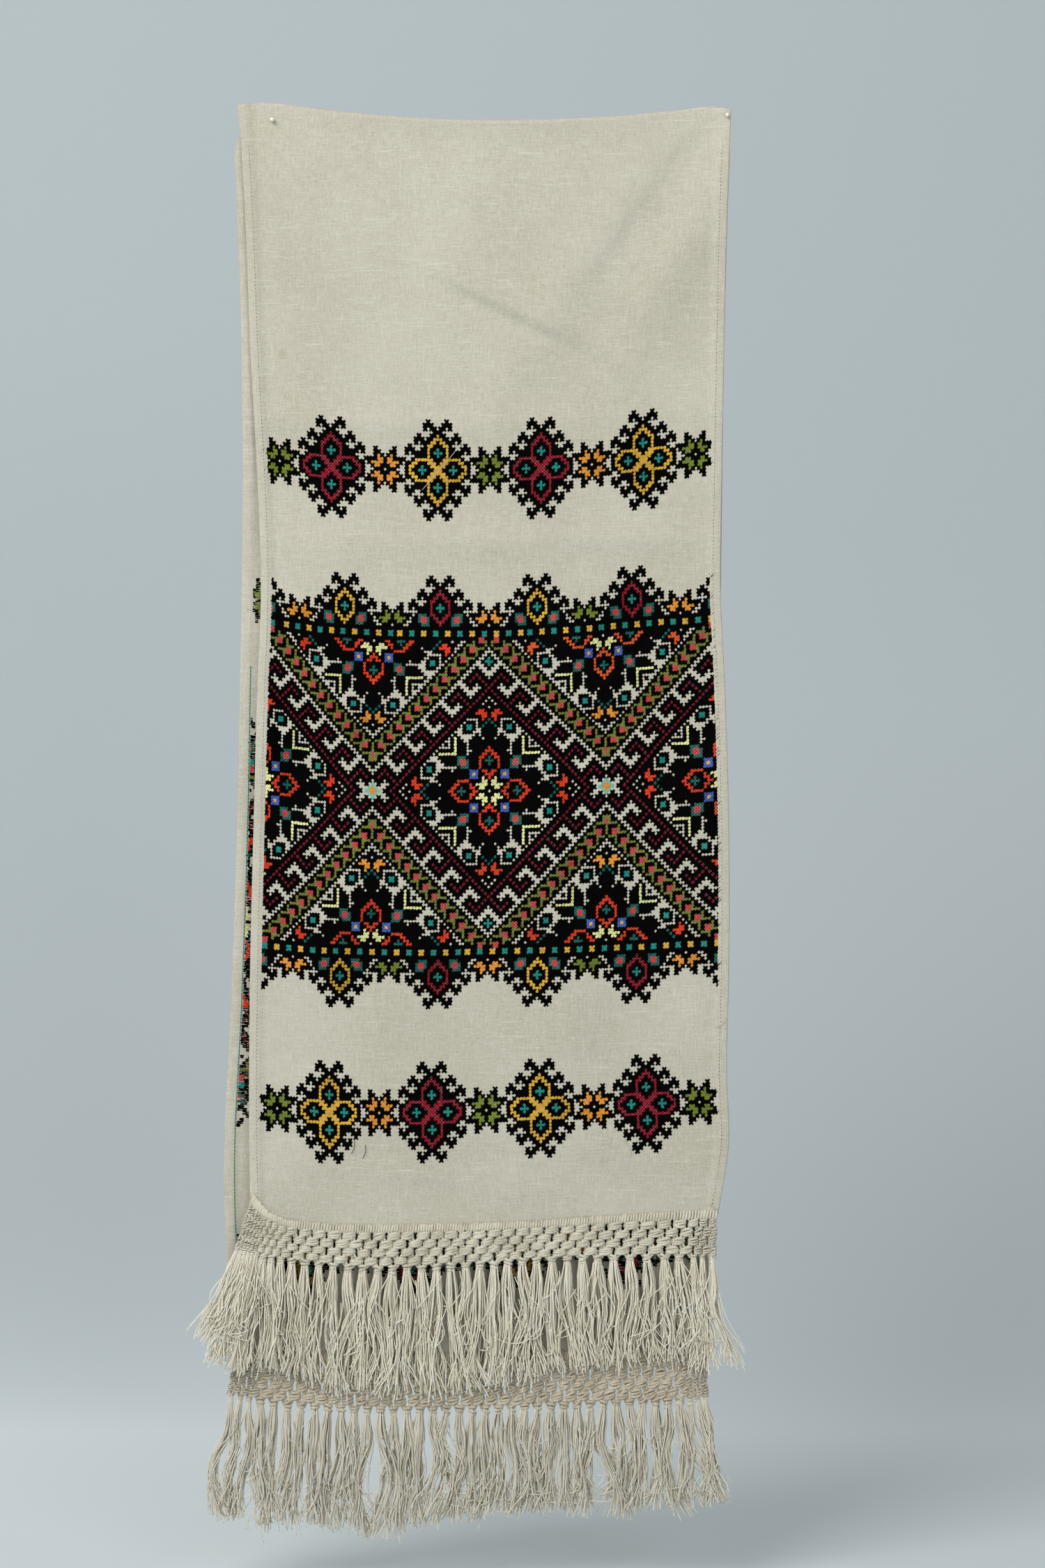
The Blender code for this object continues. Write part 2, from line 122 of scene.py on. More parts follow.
FRONT_CREASES = rows_of(
    Fold,
    (0.016, 0.143, 64, 0.066, 0.0048, 0.0026), (0.019, 0.150, 64, 0.066, 0.0058, -0.0019),
    (0.121, 0.072, -36, 0.070, 0.0110, -0.0017), (-0.080, 0.2300, 89, 0.150, 0.0040, 0.0005),
    (0.090, 0.2270, 93, 0.120, 0.0040, 0.0004), (0.000, 0.3200, 90, 0.200, 0.0050, 0.0006),
    (0.120, 0.060, -34, 0.070, 0.0060, 0.0005), (-0.150, 0.150, 12, 0.120, 0.0090, 0.0005),
    (-0.1640, 0.8190, 48, 0.016, 0.0050, -0.0012), (0.1640, 0.8200, 80, 0.014, 0.0050, 0.0012),
    (-0.060, 0.800, 84, 0.090, 0.0070, 0.0005),
)
Pin = namedtuple("Pin", "name across below_fold")
PINS = [Pin("pin_left", 0.0677, 0.0134), Pin("pin_right", 0.9925, 0.0049)]
PIN_HOLE_HALF = 0.0009


def smooth_step(t):
    t = np.clip(t, 0.0, 1.0)
    return t * t * (3 - 2 * t)


def smooth_curve(rows, column, at):
    """The values of a table's column at some keys, on a smooth curve through the rows."""
    keys = np.array([row[0] for row in rows])
    values = np.array([getattr(row, column) for row in rows])
    slopes = np.gradient(values, keys)
    at = np.asarray(at, float)
    i = np.clip(np.searchsorted(keys, at) - 1, 0, len(keys) - 2)
    span = keys[i + 1] - keys[i]
    t = np.clip((at - keys[i]) / span, 0.0, 1.0)
    start = values[i] * (1 + 2 * t) * (1 - t) ** 2 + slopes[i] * span * t * (1 - t) ** 2
    end = values[i + 1] * t * t * (3 - 2 * t) + slopes[i + 1] * span * t * t * (t - 1)
    return start + end


def fold_relief(folds, x, drop):
    """How far soft folds or creases lift the cloth."""
    total = np.zeros(np.shape(x))
    for fold in folds:
        lean = math.radians(fold.lean_deg)
        dx, dz = x - fold.x, drop - fold.drop
        along = dx * math.sin(lean) + dz * math.cos(lean)
        across = dx * math.cos(lean) - dz * math.sin(lean)
        total += fold.rise * np.exp(-((across / fold.width) ** 2) - (along / fold.half_length) ** 2)
    return total


def ripple(x, drop):
    """The slight unevenness of cloth that has been washed and handled, in metres."""
    waves = 0.5 * np.sin(83 * x + 31 * drop + 0.4) + 0.3 * np.sin(47 * x - 118 * drop + 1.9)
    return 0.0003 * (waves + 0.25 * np.sin(210 * x + 64 * drop) * np.sin(95 * drop + 1.0))


def fold_radius(across):
    """The top fold is pinched flat at the pins and rolls open between them."""
    return FOLD_RADIUS_AT_PINS + (FOLD_RADIUS_AT_MIDDLE - FOLD_RADIUS_AT_PINS) * np.sin(np.pi * across)


def half_gap(across, below_fold):
    roll = np.exp(-((below_fold / ROLL_DEPTH) ** 2))
    return LAYER_HALF_GAP + (fold_radius(across) - LAYER_HALF_GAP) * roll


def point_at_drop(front, across, drop, below_fold):
    """Points on the middle surface of a panel, by the distance below the origin."""
    left = smooth_curve(FRONT_EDGES, "left", drop)
    right = smooth_curve(FRONT_EDGES, "right", drop)
    if not front:
        parted = smooth_step((below_fold - PINNED_DEPTH) / PINNED_DEPTH)
        left = left + (smooth_curve(BACK_EDGES, "left", drop) - left) * parted
        right = right + (smooth_curve(BACK_EDGES, "right", drop) - right) * parted
    x = left + (right - left) * across
    fade = smooth_step(below_fold / (2 * ROLL_DEPTH))
    if front:
        away = half_gap(across, below_fold) + FRONT_STANDOFF * smooth_step(drop / FRONT_LENGTH)
        relief = fold_relief(FRONT_FOLDS, x, drop) + fold_relief(FRONT_CREASES, x, drop)
        y = np.minimum(-away - fade * (relief + ripple(x, drop)), NEAREST_TO_BACK)
    else:
        relief = fold_relief(BACK_FOLDS, x, drop) + ripple(x, drop)
        y = half_gap(across, below_fold) + fade * relief
    return np.stack([x, y, -drop], axis=-1)


def panel_point(front, across, below_fold):
    """Points on the middle surface of a panel, by the length of cloth below the top fold."""
    across, below_fold = np.broadcast_arrays(np.asarray(across, float), np.asarray(below_fold, float))
    edges, hem = (FRONT_EDGES, FRONT_HEM) if front else (BACK_EDGES, BACK_HEM)
    length = FRONT_LENGTH if front else BACK_LENGTH
    top = smooth_curve(TOP_FOLD, "height", across)
    left_end, right_end = edges[-1].left, edges[-1].right
    hem_drop = smooth_curve(hem, "drop", left_end + (right_end - left_end) * across)
    extra = hem_drop + top - length
    drop = -top + below_fold + extra * smooth_step(below_fold / length)
    return point_at_drop(front, across, drop, below_fold)


def fold_point(across, turn):
    """Points round the top fold: turn 0 is on the front panel, and 1 on the back."""
    radius = fold_radius(across)
    x = panel_point(turn < 0.5, across, radius)[:, 0]
    top = smooth_curve(TOP_FOLD, "height", across)
    angle = math.pi * turn
    return np.stack([x, -radius * np.cos(angle), top - radius + radius * np.sin(angle)], axis=-1)


def finish_piece(piece, name, node, finish):
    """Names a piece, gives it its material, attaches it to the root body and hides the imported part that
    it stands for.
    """
    piece.name = name
    piece.data.name = name
    piece.data.materials.append(finish)
    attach(piece, "root")
    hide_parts(node)
    return piece


def new_mesh_object(points, faces):
    """An object of these points and faces, shaded smooth."""
    mesh = bpy.data.meshes.new("piece")
    mesh.from_pydata(np.asarray(points).reshape(-1, 3).tolist(), [], faces)
    mesh.shade_smooth()
    made = bpy.data.objects.new("piece", mesh)
    bpy.context.scene.collection.objects.link(made)
    return made


def set_inputs(node, values):
    """Gives a node's own sockets their fixed values."""
    for name, value in values.items():
        node.inputs[name].default_value = value


def new_material(name):
    """(material, its node tree, its Principled shader), for a finish made of nodes."""
    made = bpy.data.materials.new(name)
    made.use_nodes = True
    return made, made.node_tree, made.node_tree.nodes["Principled BSDF"]


def new_group(name, values):
    """(group, its output node), for a shader group that hands out these values."""
    group = bpy.data.node_groups.new(name, "ShaderNodeTree")
    for value in values:
        group.interface.new_socket(value, in_out="OUTPUT", socket_type="NodeSocketFloat")
    return group, group.nodes.new("NodeGroupOutput")


def use_group(tree, group):
    node = tree.nodes.new("ShaderNodeGroup")
    node.node_tree = group
    return node.outputs


def object_place(tree):
    return tree.nodes.new("ShaderNodeTexCoord").outputs["Object"]


def noise_node(tree, vector, scale, detail, stretch=(1, 1, 1)):
    """A noise texture whose grain can be drawn out along an axis."""
    mapping = tree.nodes.new("ShaderNodeMapping")
    noise = tree.nodes.new("ShaderNodeTexNoise")
    set_inputs(mapping, {"Scale": stretch})
    set_inputs(noise, {"Scale": scale, "Detail": detail})
    tree.links.new(vector, mapping.inputs["Vector"])
    tree.links.new(mapping.outputs["Vector"], noise.inputs["Vector"])
    return noise.outputs["Fac"]


def wave_node(tree, vector, direction, values):
    """Even bands across one direction, like threads side by side."""
    wave = tree.nodes.new("ShaderNodeTexWave")
    wave.bands_direction = direction
    set_inputs(wave, values)
    tree.links.new(vector, wave.inputs["Vector"])
    return wave.outputs["Fac"]


def math_node(tree, operation, first, second):
    """A Math node; each input is a socket or a number."""
    node = tree.nodes.new("ShaderNodeMath")
    node.operation = operation
    for socket, value in zip(node.inputs, (first, second)):
        if isinstance(value, (int, float)):
            socket.default_value = value
        else:
            tree.links.new(value, socket)
    return node.outputs["Value"]


def plus(tree, first, second):
    return math_node(tree, "ADD", first, second)


def times(tree, first, second):
    return math_node(tree, "MULTIPLY", first, second)


def weave_group():
    """Shader group: the threads of a plain weave with its slubs, as a height and a shade."""
    group, result = new_group("plain_weave", ("Height", "Shade"))
    place = object_place(group)
    even = {"Scale": 360.0, "Distortion": 1.6, "Detail": 2.0, "Detail Scale": 0.35}
    threads = plus(group, wave_node(group, place, "X", even), wave_node(group, place, "Z", even))
    weft = noise_node(group, place, 1.0, 2.0, (110, 300, 1500))
    warp = noise_node(group, place, 1.0, 2.0, (1500, 300, 130))
    slubs = plus(group, weft, warp)
    height = plus(group, times(group, threads, 0.5), times(group, slubs, 1.1))
    grain = noise_node(group, place, 620.0, 2.0)
    shade = plus(group, times(group, slubs, 0.33), times(group, grain, 0.27))
    for stretch, gain in (((42, 200, 900), 1.05), ((900, 200, 75), 0.75)):
        thick = math_node(group, "SUBTRACT", noise_node(group, place, 1.0, 1.0, stretch), 0.62)
        thick = times(group, math_node(group, "MAXIMUM", thick, 0.0), gain)
        shade = plus(group, shade, thick)
        height = plus(group, height, thick)
    group.links.new(height, result.inputs["Height"])
    group.links.new(shade, result.inputs["Shade"])
    return group


def colour_ramp(tree, value, stops):
    ramp = tree.nodes.new("ShaderNodeValToRGB")
    elements = ramp.color_ramp.elements
    while len(elements) < len(stops):
        elements.new(0.5)
    for element, (position, colour) in zip(elements, stops):
        element.position = position
        element.color = (*colour, 1.0)
    tree.links.new(value, ramp.inputs["Fac"])
    return ramp.outputs["Color"]


def bump_node(tree, height, distance, strength, shader):
    bump = tree.nodes.new("ShaderNodeBump")
    set_inputs(bump, {"Distance": distance, "Strength": strength})
    tree.links.new(height, bump.inputs["Height"])
    tree.links.new(bump.outputs["Normal"], shader.inputs["Normal"])


def mottled_material(name, scale, stops, values):
    """A plain finish whose colour varies a little, with fixed values on its shader."""
    made, tree, shader = new_material(name)
    tone = noise_node(tree, object_place(tree), scale, 2.0)
    tree.links.new(colour_ramp(tree, tone, stops), shader.inputs["Base Color"])
    set_inputs(shader, values)
    return made


LINEN_TONES = [(0.36, (0.44, 0.415, 0.325)), (0.50, (0.550, 0.520, 0.430)), (0.64, (0.63, 0.61, 0.52))]
STAIN_PLACE = (-0.1535, -0.005, -0.178)
STAIN_COLOUR = (0.33, 0.25, 0.13, 1.0)


def linen_material(weave):
    """Washed linen, a little uneven in tone, with one small stain."""
    made, tree, shader = new_material("homespun_linen")
    woven = use_group(tree, weave)
    place = object_place(tree)
    patches = noise_node(tree, place, 9.0, 4.0)
    shade = plus(tree, times(tree, woven["Shade"], 0.75), times(tree, patches, 0.25))
    from_stain = tree.nodes.new("ShaderNodeVectorMath")
    from_stain.operation = "DISTANCE"
    from_stain.inputs[1].default_value = STAIN_PLACE
    tree.links.new(place, from_stain.inputs[0])
    spot = tree.nodes.new("ShaderNodeMapRange")
    set_inputs(spot, {"From Min": 0.0015, "From Max": 0.0055, "To Min": 0.35, "To Max": 0.0})
    tree.links.new(from_stain.outputs["Value"], spot.inputs["Value"])
    stained = tree.nodes.new("ShaderNodeMix")
    stained.data_type = "RGBA"
    set_inputs(stained, {"B": STAIN_COLOUR})
    tree.links.new(spot.outputs["Result"], stained.inputs["Factor"])
    tree.links.new(colour_ramp(tree, shade, LINEN_TONES), stained.inputs["A"])
    tree.links.new(stained.outputs["Result"], shader.inputs["Base Color"])
    set_inputs(shader, {"Roughness": 0.88, "Specular IOR Level": 0.15, "Sheen Weight": 0.12})
    bump_node(tree, woven["Height"], 0.00022, 0.45, shader)
    return made


def cloth_across():
    """Shares of the width with a line of points: the hems with their steps, an even spread, and the
    sides of the pins' holes."""
    hem, step = HEM_WIDTH / CLOTH_FLAT[0], (HEM_WIDTH + HEM_STEP) / CLOTH_FLAT[0]
    inner = np.linspace(step, 1 - step, round(CLOTH_FLAT[0] / COLUMN_SPACING))
    lip = HEM_LIP / CLOTH_FLAT[0]
    hole = PIN_HOLE_HALF / CLOTH_FLAT[0]
    holes = [pin.across + side * hole for pin in PINS for side in (-1, 1)]
    return np.sort([0.0, lip, 0.5 * hem, hem, *inner, *holes, 1 - hem, 1 - lip, 1.0])


def panel_rows(length, spacing):
    """Distances below the fold with a row of points: twice as many where the sharp creases lie."""
    at_holes = [pin.below_fold + side * PIN_HOLE_HALF for pin in PINS for side in (-1, 1)]
    rest = np.linspace(EVEN_ROWS_FROM, length, round((length - EVEN_ROWS_FROM) / spacing))
    creased = rest[(rest > CREASED_DROPS[0]) & (rest < CREASED_DROPS[1])]
    return np.sort([*ROWS_NEAR_FOLD, *at_holes, *rest, *(0.5 * (creased[1:] + creased[:-1]))])


def at_pin_hole(across, below_fold):
    return any(
        abs(across - pin.across) * CLOTH_FLAT[0] < 0.5 * PIN_HOLE_HALF
        and abs(below_fold - pin.below_fold) < 0.5 * PIN_HOLE_HALF
        for pin in PINS
    )


across_cloth = cloth_across()
front_rows = panel_rows(FRONT_LENGTH, FRONT_ROW_SPACING)[::-1]
back_rows = panel_rows(BACK_LENGTH, BACK_ROW_SPACING)
fold_turns = np.linspace(0, 1, FOLD_STEPS + 1)
sheet_rows = [panel_point(True, across_cloth, d) for d in front_rows]
sheet_rows += [fold_point(across_cloth, turn) for turn in fold_turns]
sheet_rows += [panel_point(False, across_cloth, d) for d in back_rows]
rows_below_fold = np.concatenate([front_rows, 0 * fold_turns, back_rows])
columns_in_sheet = len(across_cloth)
sheet_faces = []
for r in range(len(sheet_rows) - 1):
    for c in range(columns_in_sheet - 1):
        middle = 0.5 * (across_cloth[c] + across_cloth[c + 1])
        if at_pin_hole(middle, 0.5 * (rows_below_fold[r] + rows_below_fold[r + 1])):
            continue
        corner = r * columns_in_sheet + c
        sheet_faces.append((corner, corner + 1, corner + columns_in_sheet + 1, corner + columns_in_sheet))
linen_cloth = new_mesh_object(np.array(sheet_rows), sheet_faces)
hem_share = HEM_WIDTH / CLOTH_FLAT[0] + 1e-6
in_hem = [c for c, a in enumerate(across_cloth) if a <= hem_share or a >= 1 - hem_share]
lips = {0, columns_in_sheet - 1}
thick = linen_cloth.vertex_groups.new(name="hem")
for share, columns in ((1.0, [c for c in in_hem if c not in lips]), (LIP_THICKNESS_SHARE, sorted(lips))):
    in_sheet = [r * columns_in_sheet + c for r in range(len(sheet_rows)) for c in columns]
    thick.add(in_sheet, share, "REPLACE")
solid = linen_cloth.modifiers.new("thickness", "SOLIDIFY")
solid.thickness = HEM_THICKNESS
solid.vertex_group = thick.name
solid.thickness_vertex_group = CLOTH_THICKNESS / HEM_THICKNESS
solid.offset = 0.0
linen = linen_material(weave_group())
finish_piece(linen_cloth, "linen_cloth", "cloth", linen)

# The hem seams. Each selvedge is turned in and sewn down with small even stitches of linen thread, drawn
# far darker than the linen as painted shade of their pricks, so that they show as a dotted line beside the
# edge on both panels.
SEAM_FROM_EDGE = 0.0060
SEAM_STITCH = 0.0013
SEAM_SPACING = 0.0027
SEAM_HALF_WIDTH = 0.00028
SEAM_CROWN = 0.00016
SEAM_TOP = 0.020
SEAM_SECTIONS = [(0.0, 1.0, 1.0), (1.0, 1.0, 1.0)]


def unit(vectors):
    return vectors / np.linalg.norm(vectors, axis=-1, keepdims=True)


def thread_bars(starts, ends, out, half_width, crown, low, sections):
    """Short plump bars of thread lying on the cloth, as points (bars, sections, 3 across, xyz)."""
    along = ends - starts
    side = unit(np.cross(out, along)) * np.reshape(half_width, (-1, 1))
    lift = out * np.reshape(crown, (-1, 1))
    points = []
    for share, wide, high in sections:
        middle = starts + along * share + out * low
        points.append(np.stack([middle - side * wide, middle + lift * high, middle + side * wide], axis=1))
    return np.stack(points, axis=1)


def bar_faces(bars, sections):
    """The faces of bars made by thread_bars."""
    one = []
    for s in range(sections - 1):
        for k in range(2):
            one.append((3 * s + k, 3 * s + k + 1, 3 * s + k + 4, 3 * s + k + 3))
    one = np.array(one)
    starts = np.arange(bars) * 3 * sections
    return (starts[:, None, None] + one).reshape(-1, 4).tolist()


def seam_bars(front, facing, drops, from_edge, length, half_width, crown):
    """A dotted line of stitches down both selvedges of a panel; facing is -1 for its near side."""
    bars = []
    for share in (from_edge / CLOTH_FLAT[0], 1 - from_edge / CLOTH_FLAT[0]):
        starts = point_at_drop(front, share, drops, drops)
        ends = point_at_drop(front, share, drops + length, drops + length)
        out = np.array([0.0, facing, 0.0])
        bars.append(thread_bars(starts, ends, out, half_width, crown, 0.5 * HEM_THICKNESS, SEAM_SECTIONS))
    return np.concatenate(bars)


# Painted shade: the seam's linen thread is drawn far darker than the linen, for the shade in its pricks.
SEAM_SHADE_TONES = [(0.35, (0.17, 0.155, 0.115)), (0.65, (0.33, 0.31, 0.24))]


seams = []
for front, facing, length in ((True, -1, FRONT_LENGTH), (False, 1, BACK_LENGTH)):
    drops = np.arange(SEAM_TOP, length - SEAM_TOP, SEAM_SPACING)
    size = (SEAM_FROM_EDGE, SEAM_STITCH, SEAM_HALF_WIDTH, SEAM_CROWN)
    seams.append(seam_bars(front, facing, drops, *size))
seams = np.concatenate(seams)
hem_seams = new_mesh_object(seams, bar_faces(len(seams), len(SEAM_SECTIONS)))
seam_finish = mottled_material("seam_thread", 300.0, SEAM_SHADE_TONES, {"Roughness": 0.9})
finish_piece(hem_seams, "hem_seams", "cloth", seam_finish)

# The embroidery. Counted cross stitch in dyed cotton, two threads crossed over each square of the
# linen. Each end has a deep panel of flowers, hooks and zigzags with a toothed edging, and a row of
# small rosettes and stars above and below it. Nothing is drawn: every cross is thread of its own.
CHART_HALF_WIDTH = 74
PANEL_ROWS = 131
PANEL_MIDDLE = 65
BACK_END_LOWER = 0.106
Thread = namedtuple("Thread", "letter name colour")
THREADS = rows_of(
    Thread,
    ("k", "black", (0.0017, 0.0015, 0.0015)), ("m", "crimson", (0.215, 0.007, 0.018)),
    ("n", "maroon", (0.155, 0.010, 0.022)), ("y", "gold", (0.63, 0.37, 0.044)),
    ("o", "orange", (0.68, 0.27, 0.038)), ("f", "flame_red", (0.60, 0.038, 0.011)),
    ("c", "coral_orange", (0.62, 0.085, 0.017)), ("g", "leaf_green", (0.155, 0.20, 0.026)),
    ("z", "olive", (0.150, 0.178, 0.034)), ("t", "teal", (0.010, 0.22, 0.185)),
    ("d", "deep_teal", (0.008, 0.105, 0.085)), ("p", "rose", (0.46, 0.052, 0.054)),
    ("b", "blue", (0.045, 0.095, 0.38)), ("l", "lemon", (0.72, 0.72, 0.33)),
    ("q", "turquoise", (0.15, 0.50, 0.42)),
)
BARE = "."
BLACK = "k"

# The toothed edging, rows from its tips inward. The first letter stands over a rosette's middle and
# the last over a star's. In it r is the rosette's own thread and o the star's.
EDGING = [
    "...k.............",
    "..kkk............",
    ".kk.k............",
    "kk...............",
    "rkk...k..........",
    "rrkk.kkk.........",
    "krrkkk.k.........",
    "kkrrk....k.......",
    "tkkrkk..kkk..k...",
    "ttkrkkkkk.k..kk..",
    "tkkrkkkk.....kok.",
    "kkrrkdddk.kkkkook",
    "krrkdppdkk.kooook",
    "rrkkdppdkk..kookk",
    "rkkkdddkkkk..kkk.",
]
EDGING_HALF_REPEAT = 16
CHECKER_ROWS = (16, 17)
TOP_CHECKER_RUNS = [(-68.5, -32.5, 0), (-29.5, 10.5, 0), (13.5, 73.5, 1)]
LOW_CHECKER_RUNS = [(-73.5, -9.5, 1), (-6.5, 73.5, 0)]

# One eighth of the flower: steps out along one arm, steps to its side.
FLOWER_ARMS = {
    "l": [(2, 1), (3, 1), (2, 2), (3, 2), (4, 2)] + [(11, v) for v in range(11, 17)],
    "f": [(0, 4), (0, 5), (1, 5), (1, 6), (2, 6), (3, 7), (3, 8), (3, 9), (3, 10), (2, 10), (2, 11)]
    + [(1, 11), (1, 12), (0, 12), (0, 13), (2, 25), (3, 25), (1, 24), (2, 24), (3, 24), (4, 24)]
    + [(1, 23), (2, 23), (2, 22)],
    "d": [(0, 8), (0, 9), (1, 9), (0, 10), (0, 22), (1, 21), (2, 20)]
    + [(7, 7), (7, 8), (7, 9), (10, 8), (10, 9), (10, 10)],
    "b": [(4, 4), (4, 5), (4, 6), (5, 6), (6, 6)],
    "y": [(5, 5)],
    "p": [(8, 8), (8, 9), (9, 9)],
    "t": [(6, 19), (7, 19), (6, 20), (7, 20)],
    BARE: [(0, 0), (0, 26), (0, 29), (1, 28), (2, 27)],
}
HOOK_BOX = {
    22: (4, 5, 6, 7),
    21: (4, 8),
    20: (4, 9),
    19: (3, 4, 9, 10),
    18: (3, 4, 5, 9, 10, 11),
    17: (3, 5, 6, 7, 8, 9, 10, 12),
    16: (2, 6, 7, 8, 9, 13),
    15: (7, 8, 13, 14),
    14: (7, 13, 15),
    13: (7, 13, 14, 15, 16),
    12: (6, 7, 17),
    11: (7,),
}
FLOWER_REACH = 30
HALF_FLOWER_COLUMN = 38
HALF_FLOWER_ROW = 19
LEAF_TIPS_FROM = 22

STAR = ["...k...", "...kk..", "...kok.", "kkkkook", ".kooook", "..kookk", "...kkk."]
ROSETTE = [
    ".......k...",
    "......kkk..",
    "......k.kk.",
    ".........kk",
    "....k...kkr",
    "...kkk.kkrr",
    "...k.kkkrrk",
    ".k....krrkk",
    "kkk..kkrkkt",
    "k.kkkkkrktt",
    "...kkkkrkkt",
    "..krrrrrrkk",
    "kkrrkkkrrrk",
    "krrkktkkrrr",
    "krkktttkkrr",
]
STAR_COLUMNS = (-68, -34, 0, 34, 68)
STAR_THREADS = "gogog"
ROSETTE_COLUMNS = (-51, -17, 17, 51)


def flower_cells():
    """The flower's squares by steps from its middle, the same on both sides of each arm."""
    cells = {}
    for letter, places in FLOWER_ARMS.items():
        for h, v in places:
            cells[h, v] = cells[v, h] = letter
    for v, steps in HOOK_BOX.items():
        for h in steps:
            cells[h, v] = cells[v, h] = BARE
    return cells


def band_cells():
    """The squares of the bands between the flowers, by columns and rows from the panel's middle."""
    cells = {}
    for a in range(8, 39):
        cells[a, 54 - a] = BARE
    for k in range(13):
        row = 3 * k + 18
        greens = [(3 * k + 4, row - 1), (3 * k + 3, row - 1), (3 * k + 2, row - 1)]
        greens += [(3 * k + 2, row - 3), (3 * k + 2, row - 2), (3 * k, row), (3 * k - 1, row)]
        greens += [(3 * k + 1, row), (3 * k + 1, row + 1), (3 * k + 1, row + 2)]
        for a, r in greens:
            if r > HALF_FLOWER_ROW - 1 and a <= 38:
                cells[abs(a), PANEL_MIDDLE - r] = "z"
    for k in range(13):
        for a in (3 * k + 2, 3 * k + 3):
            for r in (3 * k + 18, 3 * k + 19):
                if a <= 38:
                    cells[a, PANEL_MIDDLE - r] = "p"
    cells.update({(a, 9): "z" for a in (37, 38)})
    for a in range(0, 39):
        for b in (43 - a, 44 - a):
            if b >= 0:
                cells[a, b] = BARE
    branch = {0: (0,), 1: (1, 0, -1), 2: (2, 1, 0, -1, -2), 3: (3, 2, 1, -1, -2, -3), 4: (3, 2, -2)}
    for k in range(6):
        for up, steps in branch.items():
            for step in steps:
                cells[abs(30 - 6 * k + step), 5 + 6 * k + up] = BARE
    for a, b in ((0, 39), (0, 40), (0, 41), (1, 40)):
        cells[a, b] = "t"
    for a in range(33):
        cells[a, 32 - a] = "n"
    for k in range(-1, 5):
        for step, up in ((1, 1), (2, 2), (3, 3), (4, 4), (5, 3), (6, 2)):
            cells[6 + 6 * k + step, 26 - 6 * k + up] = "n"
    brackets = {0: (3,), 1: (3, 4), 2: (3, 4, 5), 3: (4,)}
    for h in range(4):
        for v in range(4 - h):
            cells[38 - h, v] = "ooq."[h + v]
    for v, steps in brackets.items():
        for h in steps:
            cells[38 - h, v] = BARE
    return cells


def edging_letter(u, row):
    """The thread of a square in the toothed edging."""
    half = EDGING_HALF_REPEAT
    axis = 2 * half * round((u - half) / (2 * half)) + half
    letter = EDGING[row][min(abs(u - axis), half)]
    if letter == "r":
        return "y" if (axis - half) % (4 * half) == 0 else "m"
    if letter == "o":
        return "g" if round(u / (2 * half)) % 2 else "o"
    return letter


def panel_chart():
    """The deep panel's thread letters, by row and column."""
    flower, bands = flower_cells(), band_cells()
    chart = np.full((PANEL_ROWS, 2 * CHART_HALF_WIDTH + 1), BLACK)
    for row in range(PANEL_ROWS):
        inward = min(row, PANEL_ROWS - 1 - row)
        for u in range(-CHART_HALF_WIDTH, CHART_HALF_WIDTH + 1):
            a = min(abs(u), 2 * HALF_FLOWER_COLUMN - abs(u))
            b = PANEL_MIDDLE - inward
            h, v = HALF_FLOWER_COLUMN - a, inward - HALF_FLOWER_ROW
            if inward < len(EDGING):
                letter = edging_letter(u, inward)
            elif inward <= CHECKER_ROWS[-1]:
                letter = BLACK
            elif (a, b) in flower:
                letter = flower[a, b]
            elif v >= 0 and h + v <= FLOWER_REACH and (h, v) in flower:
                letter = flower[h, v]
                if letter == "f" and v >= LEAF_TIPS_FROM:
                    letter = "o"
                elif letter == "f" and u > 0 and row < PANEL_MIDDLE:
                    letter = "c"
            else:
                letter = bands.get((a, b), BLACK)
            chart[row, u + CHART_HALF_WIDTH] = letter
    low_checker_row = PANEL_ROWS - 1 - CHECKER_ROWS[-1]
    for runs, first_row in ((TOP_CHECKER_RUNS, CHECKER_ROWS[0]), (LOW_CHECKER_RUNS, low_checker_row)):
        for start, end, teal_first in runs:
            for i, middle in enumerate(np.arange(start, end + 1, 4)):
                letter = "t" if (i + teal_first) % 2 else "y"
                column = int(middle - 0.5) + CHART_HALF_WIDTH
                chart[first_row : first_row + 2, max(column, 0) : column + 2] = letter
    # One more teal square stands alone at the left end of the upper checked line.
    chart[CHECKER_ROWS[0] : CHECKER_ROWS[-1] + 1, 0:2] = "t"
    return chart


def border_chart(rosette_threads):
    """A small border's thread letters: rosettes and stars in turn."""
    half = len(ROSETTE) - 1
    chart = np.full((2 * half + 1, 2 * CHART_HALF_WIDTH + 1), BARE)
    motifs = [(column, STAR, "o", thread) for column, thread in zip(STAR_COLUMNS, STAR_THREADS)]
    motifs += [(column, ROSETTE, "r", thread) for column, thread in zip(ROSETTE_COLUMNS, rosette_threads)]
    for column, quarter, own, thread in motifs:
        reach = len(quarter[0]) - 1
        for v in range(-len(quarter) + 1, len(quarter)):
            for h in range(-reach, reach + 1):
                letter = quarter[len(quarter) - 1 - abs(v)][reach - abs(h)]
                place = column + h + CHART_HALF_WIDTH
                if letter != BARE and 0 <= place < chart.shape[1]:
                    chart[v + half, place] = thread if letter == own else letter
    return chart


# Where the charts lie on the cloth: the share of its width at some columns, the distance below the
# origin at some rows, and how far the rows ride up towards the edges with the sag of the cloth.
BORDER_PLACES = (-74.5, -68, -51, -34, -17, 0, 17, 34, 51, 68, 74.5)
BORDER_SAG_PLACES = (-74, -68, -51, -34, -17, 0, 17, 34, 51, 68, 74)


def at_places(places, *values):
    """A table of one value for each place."""
    return dict(zip(places, values))


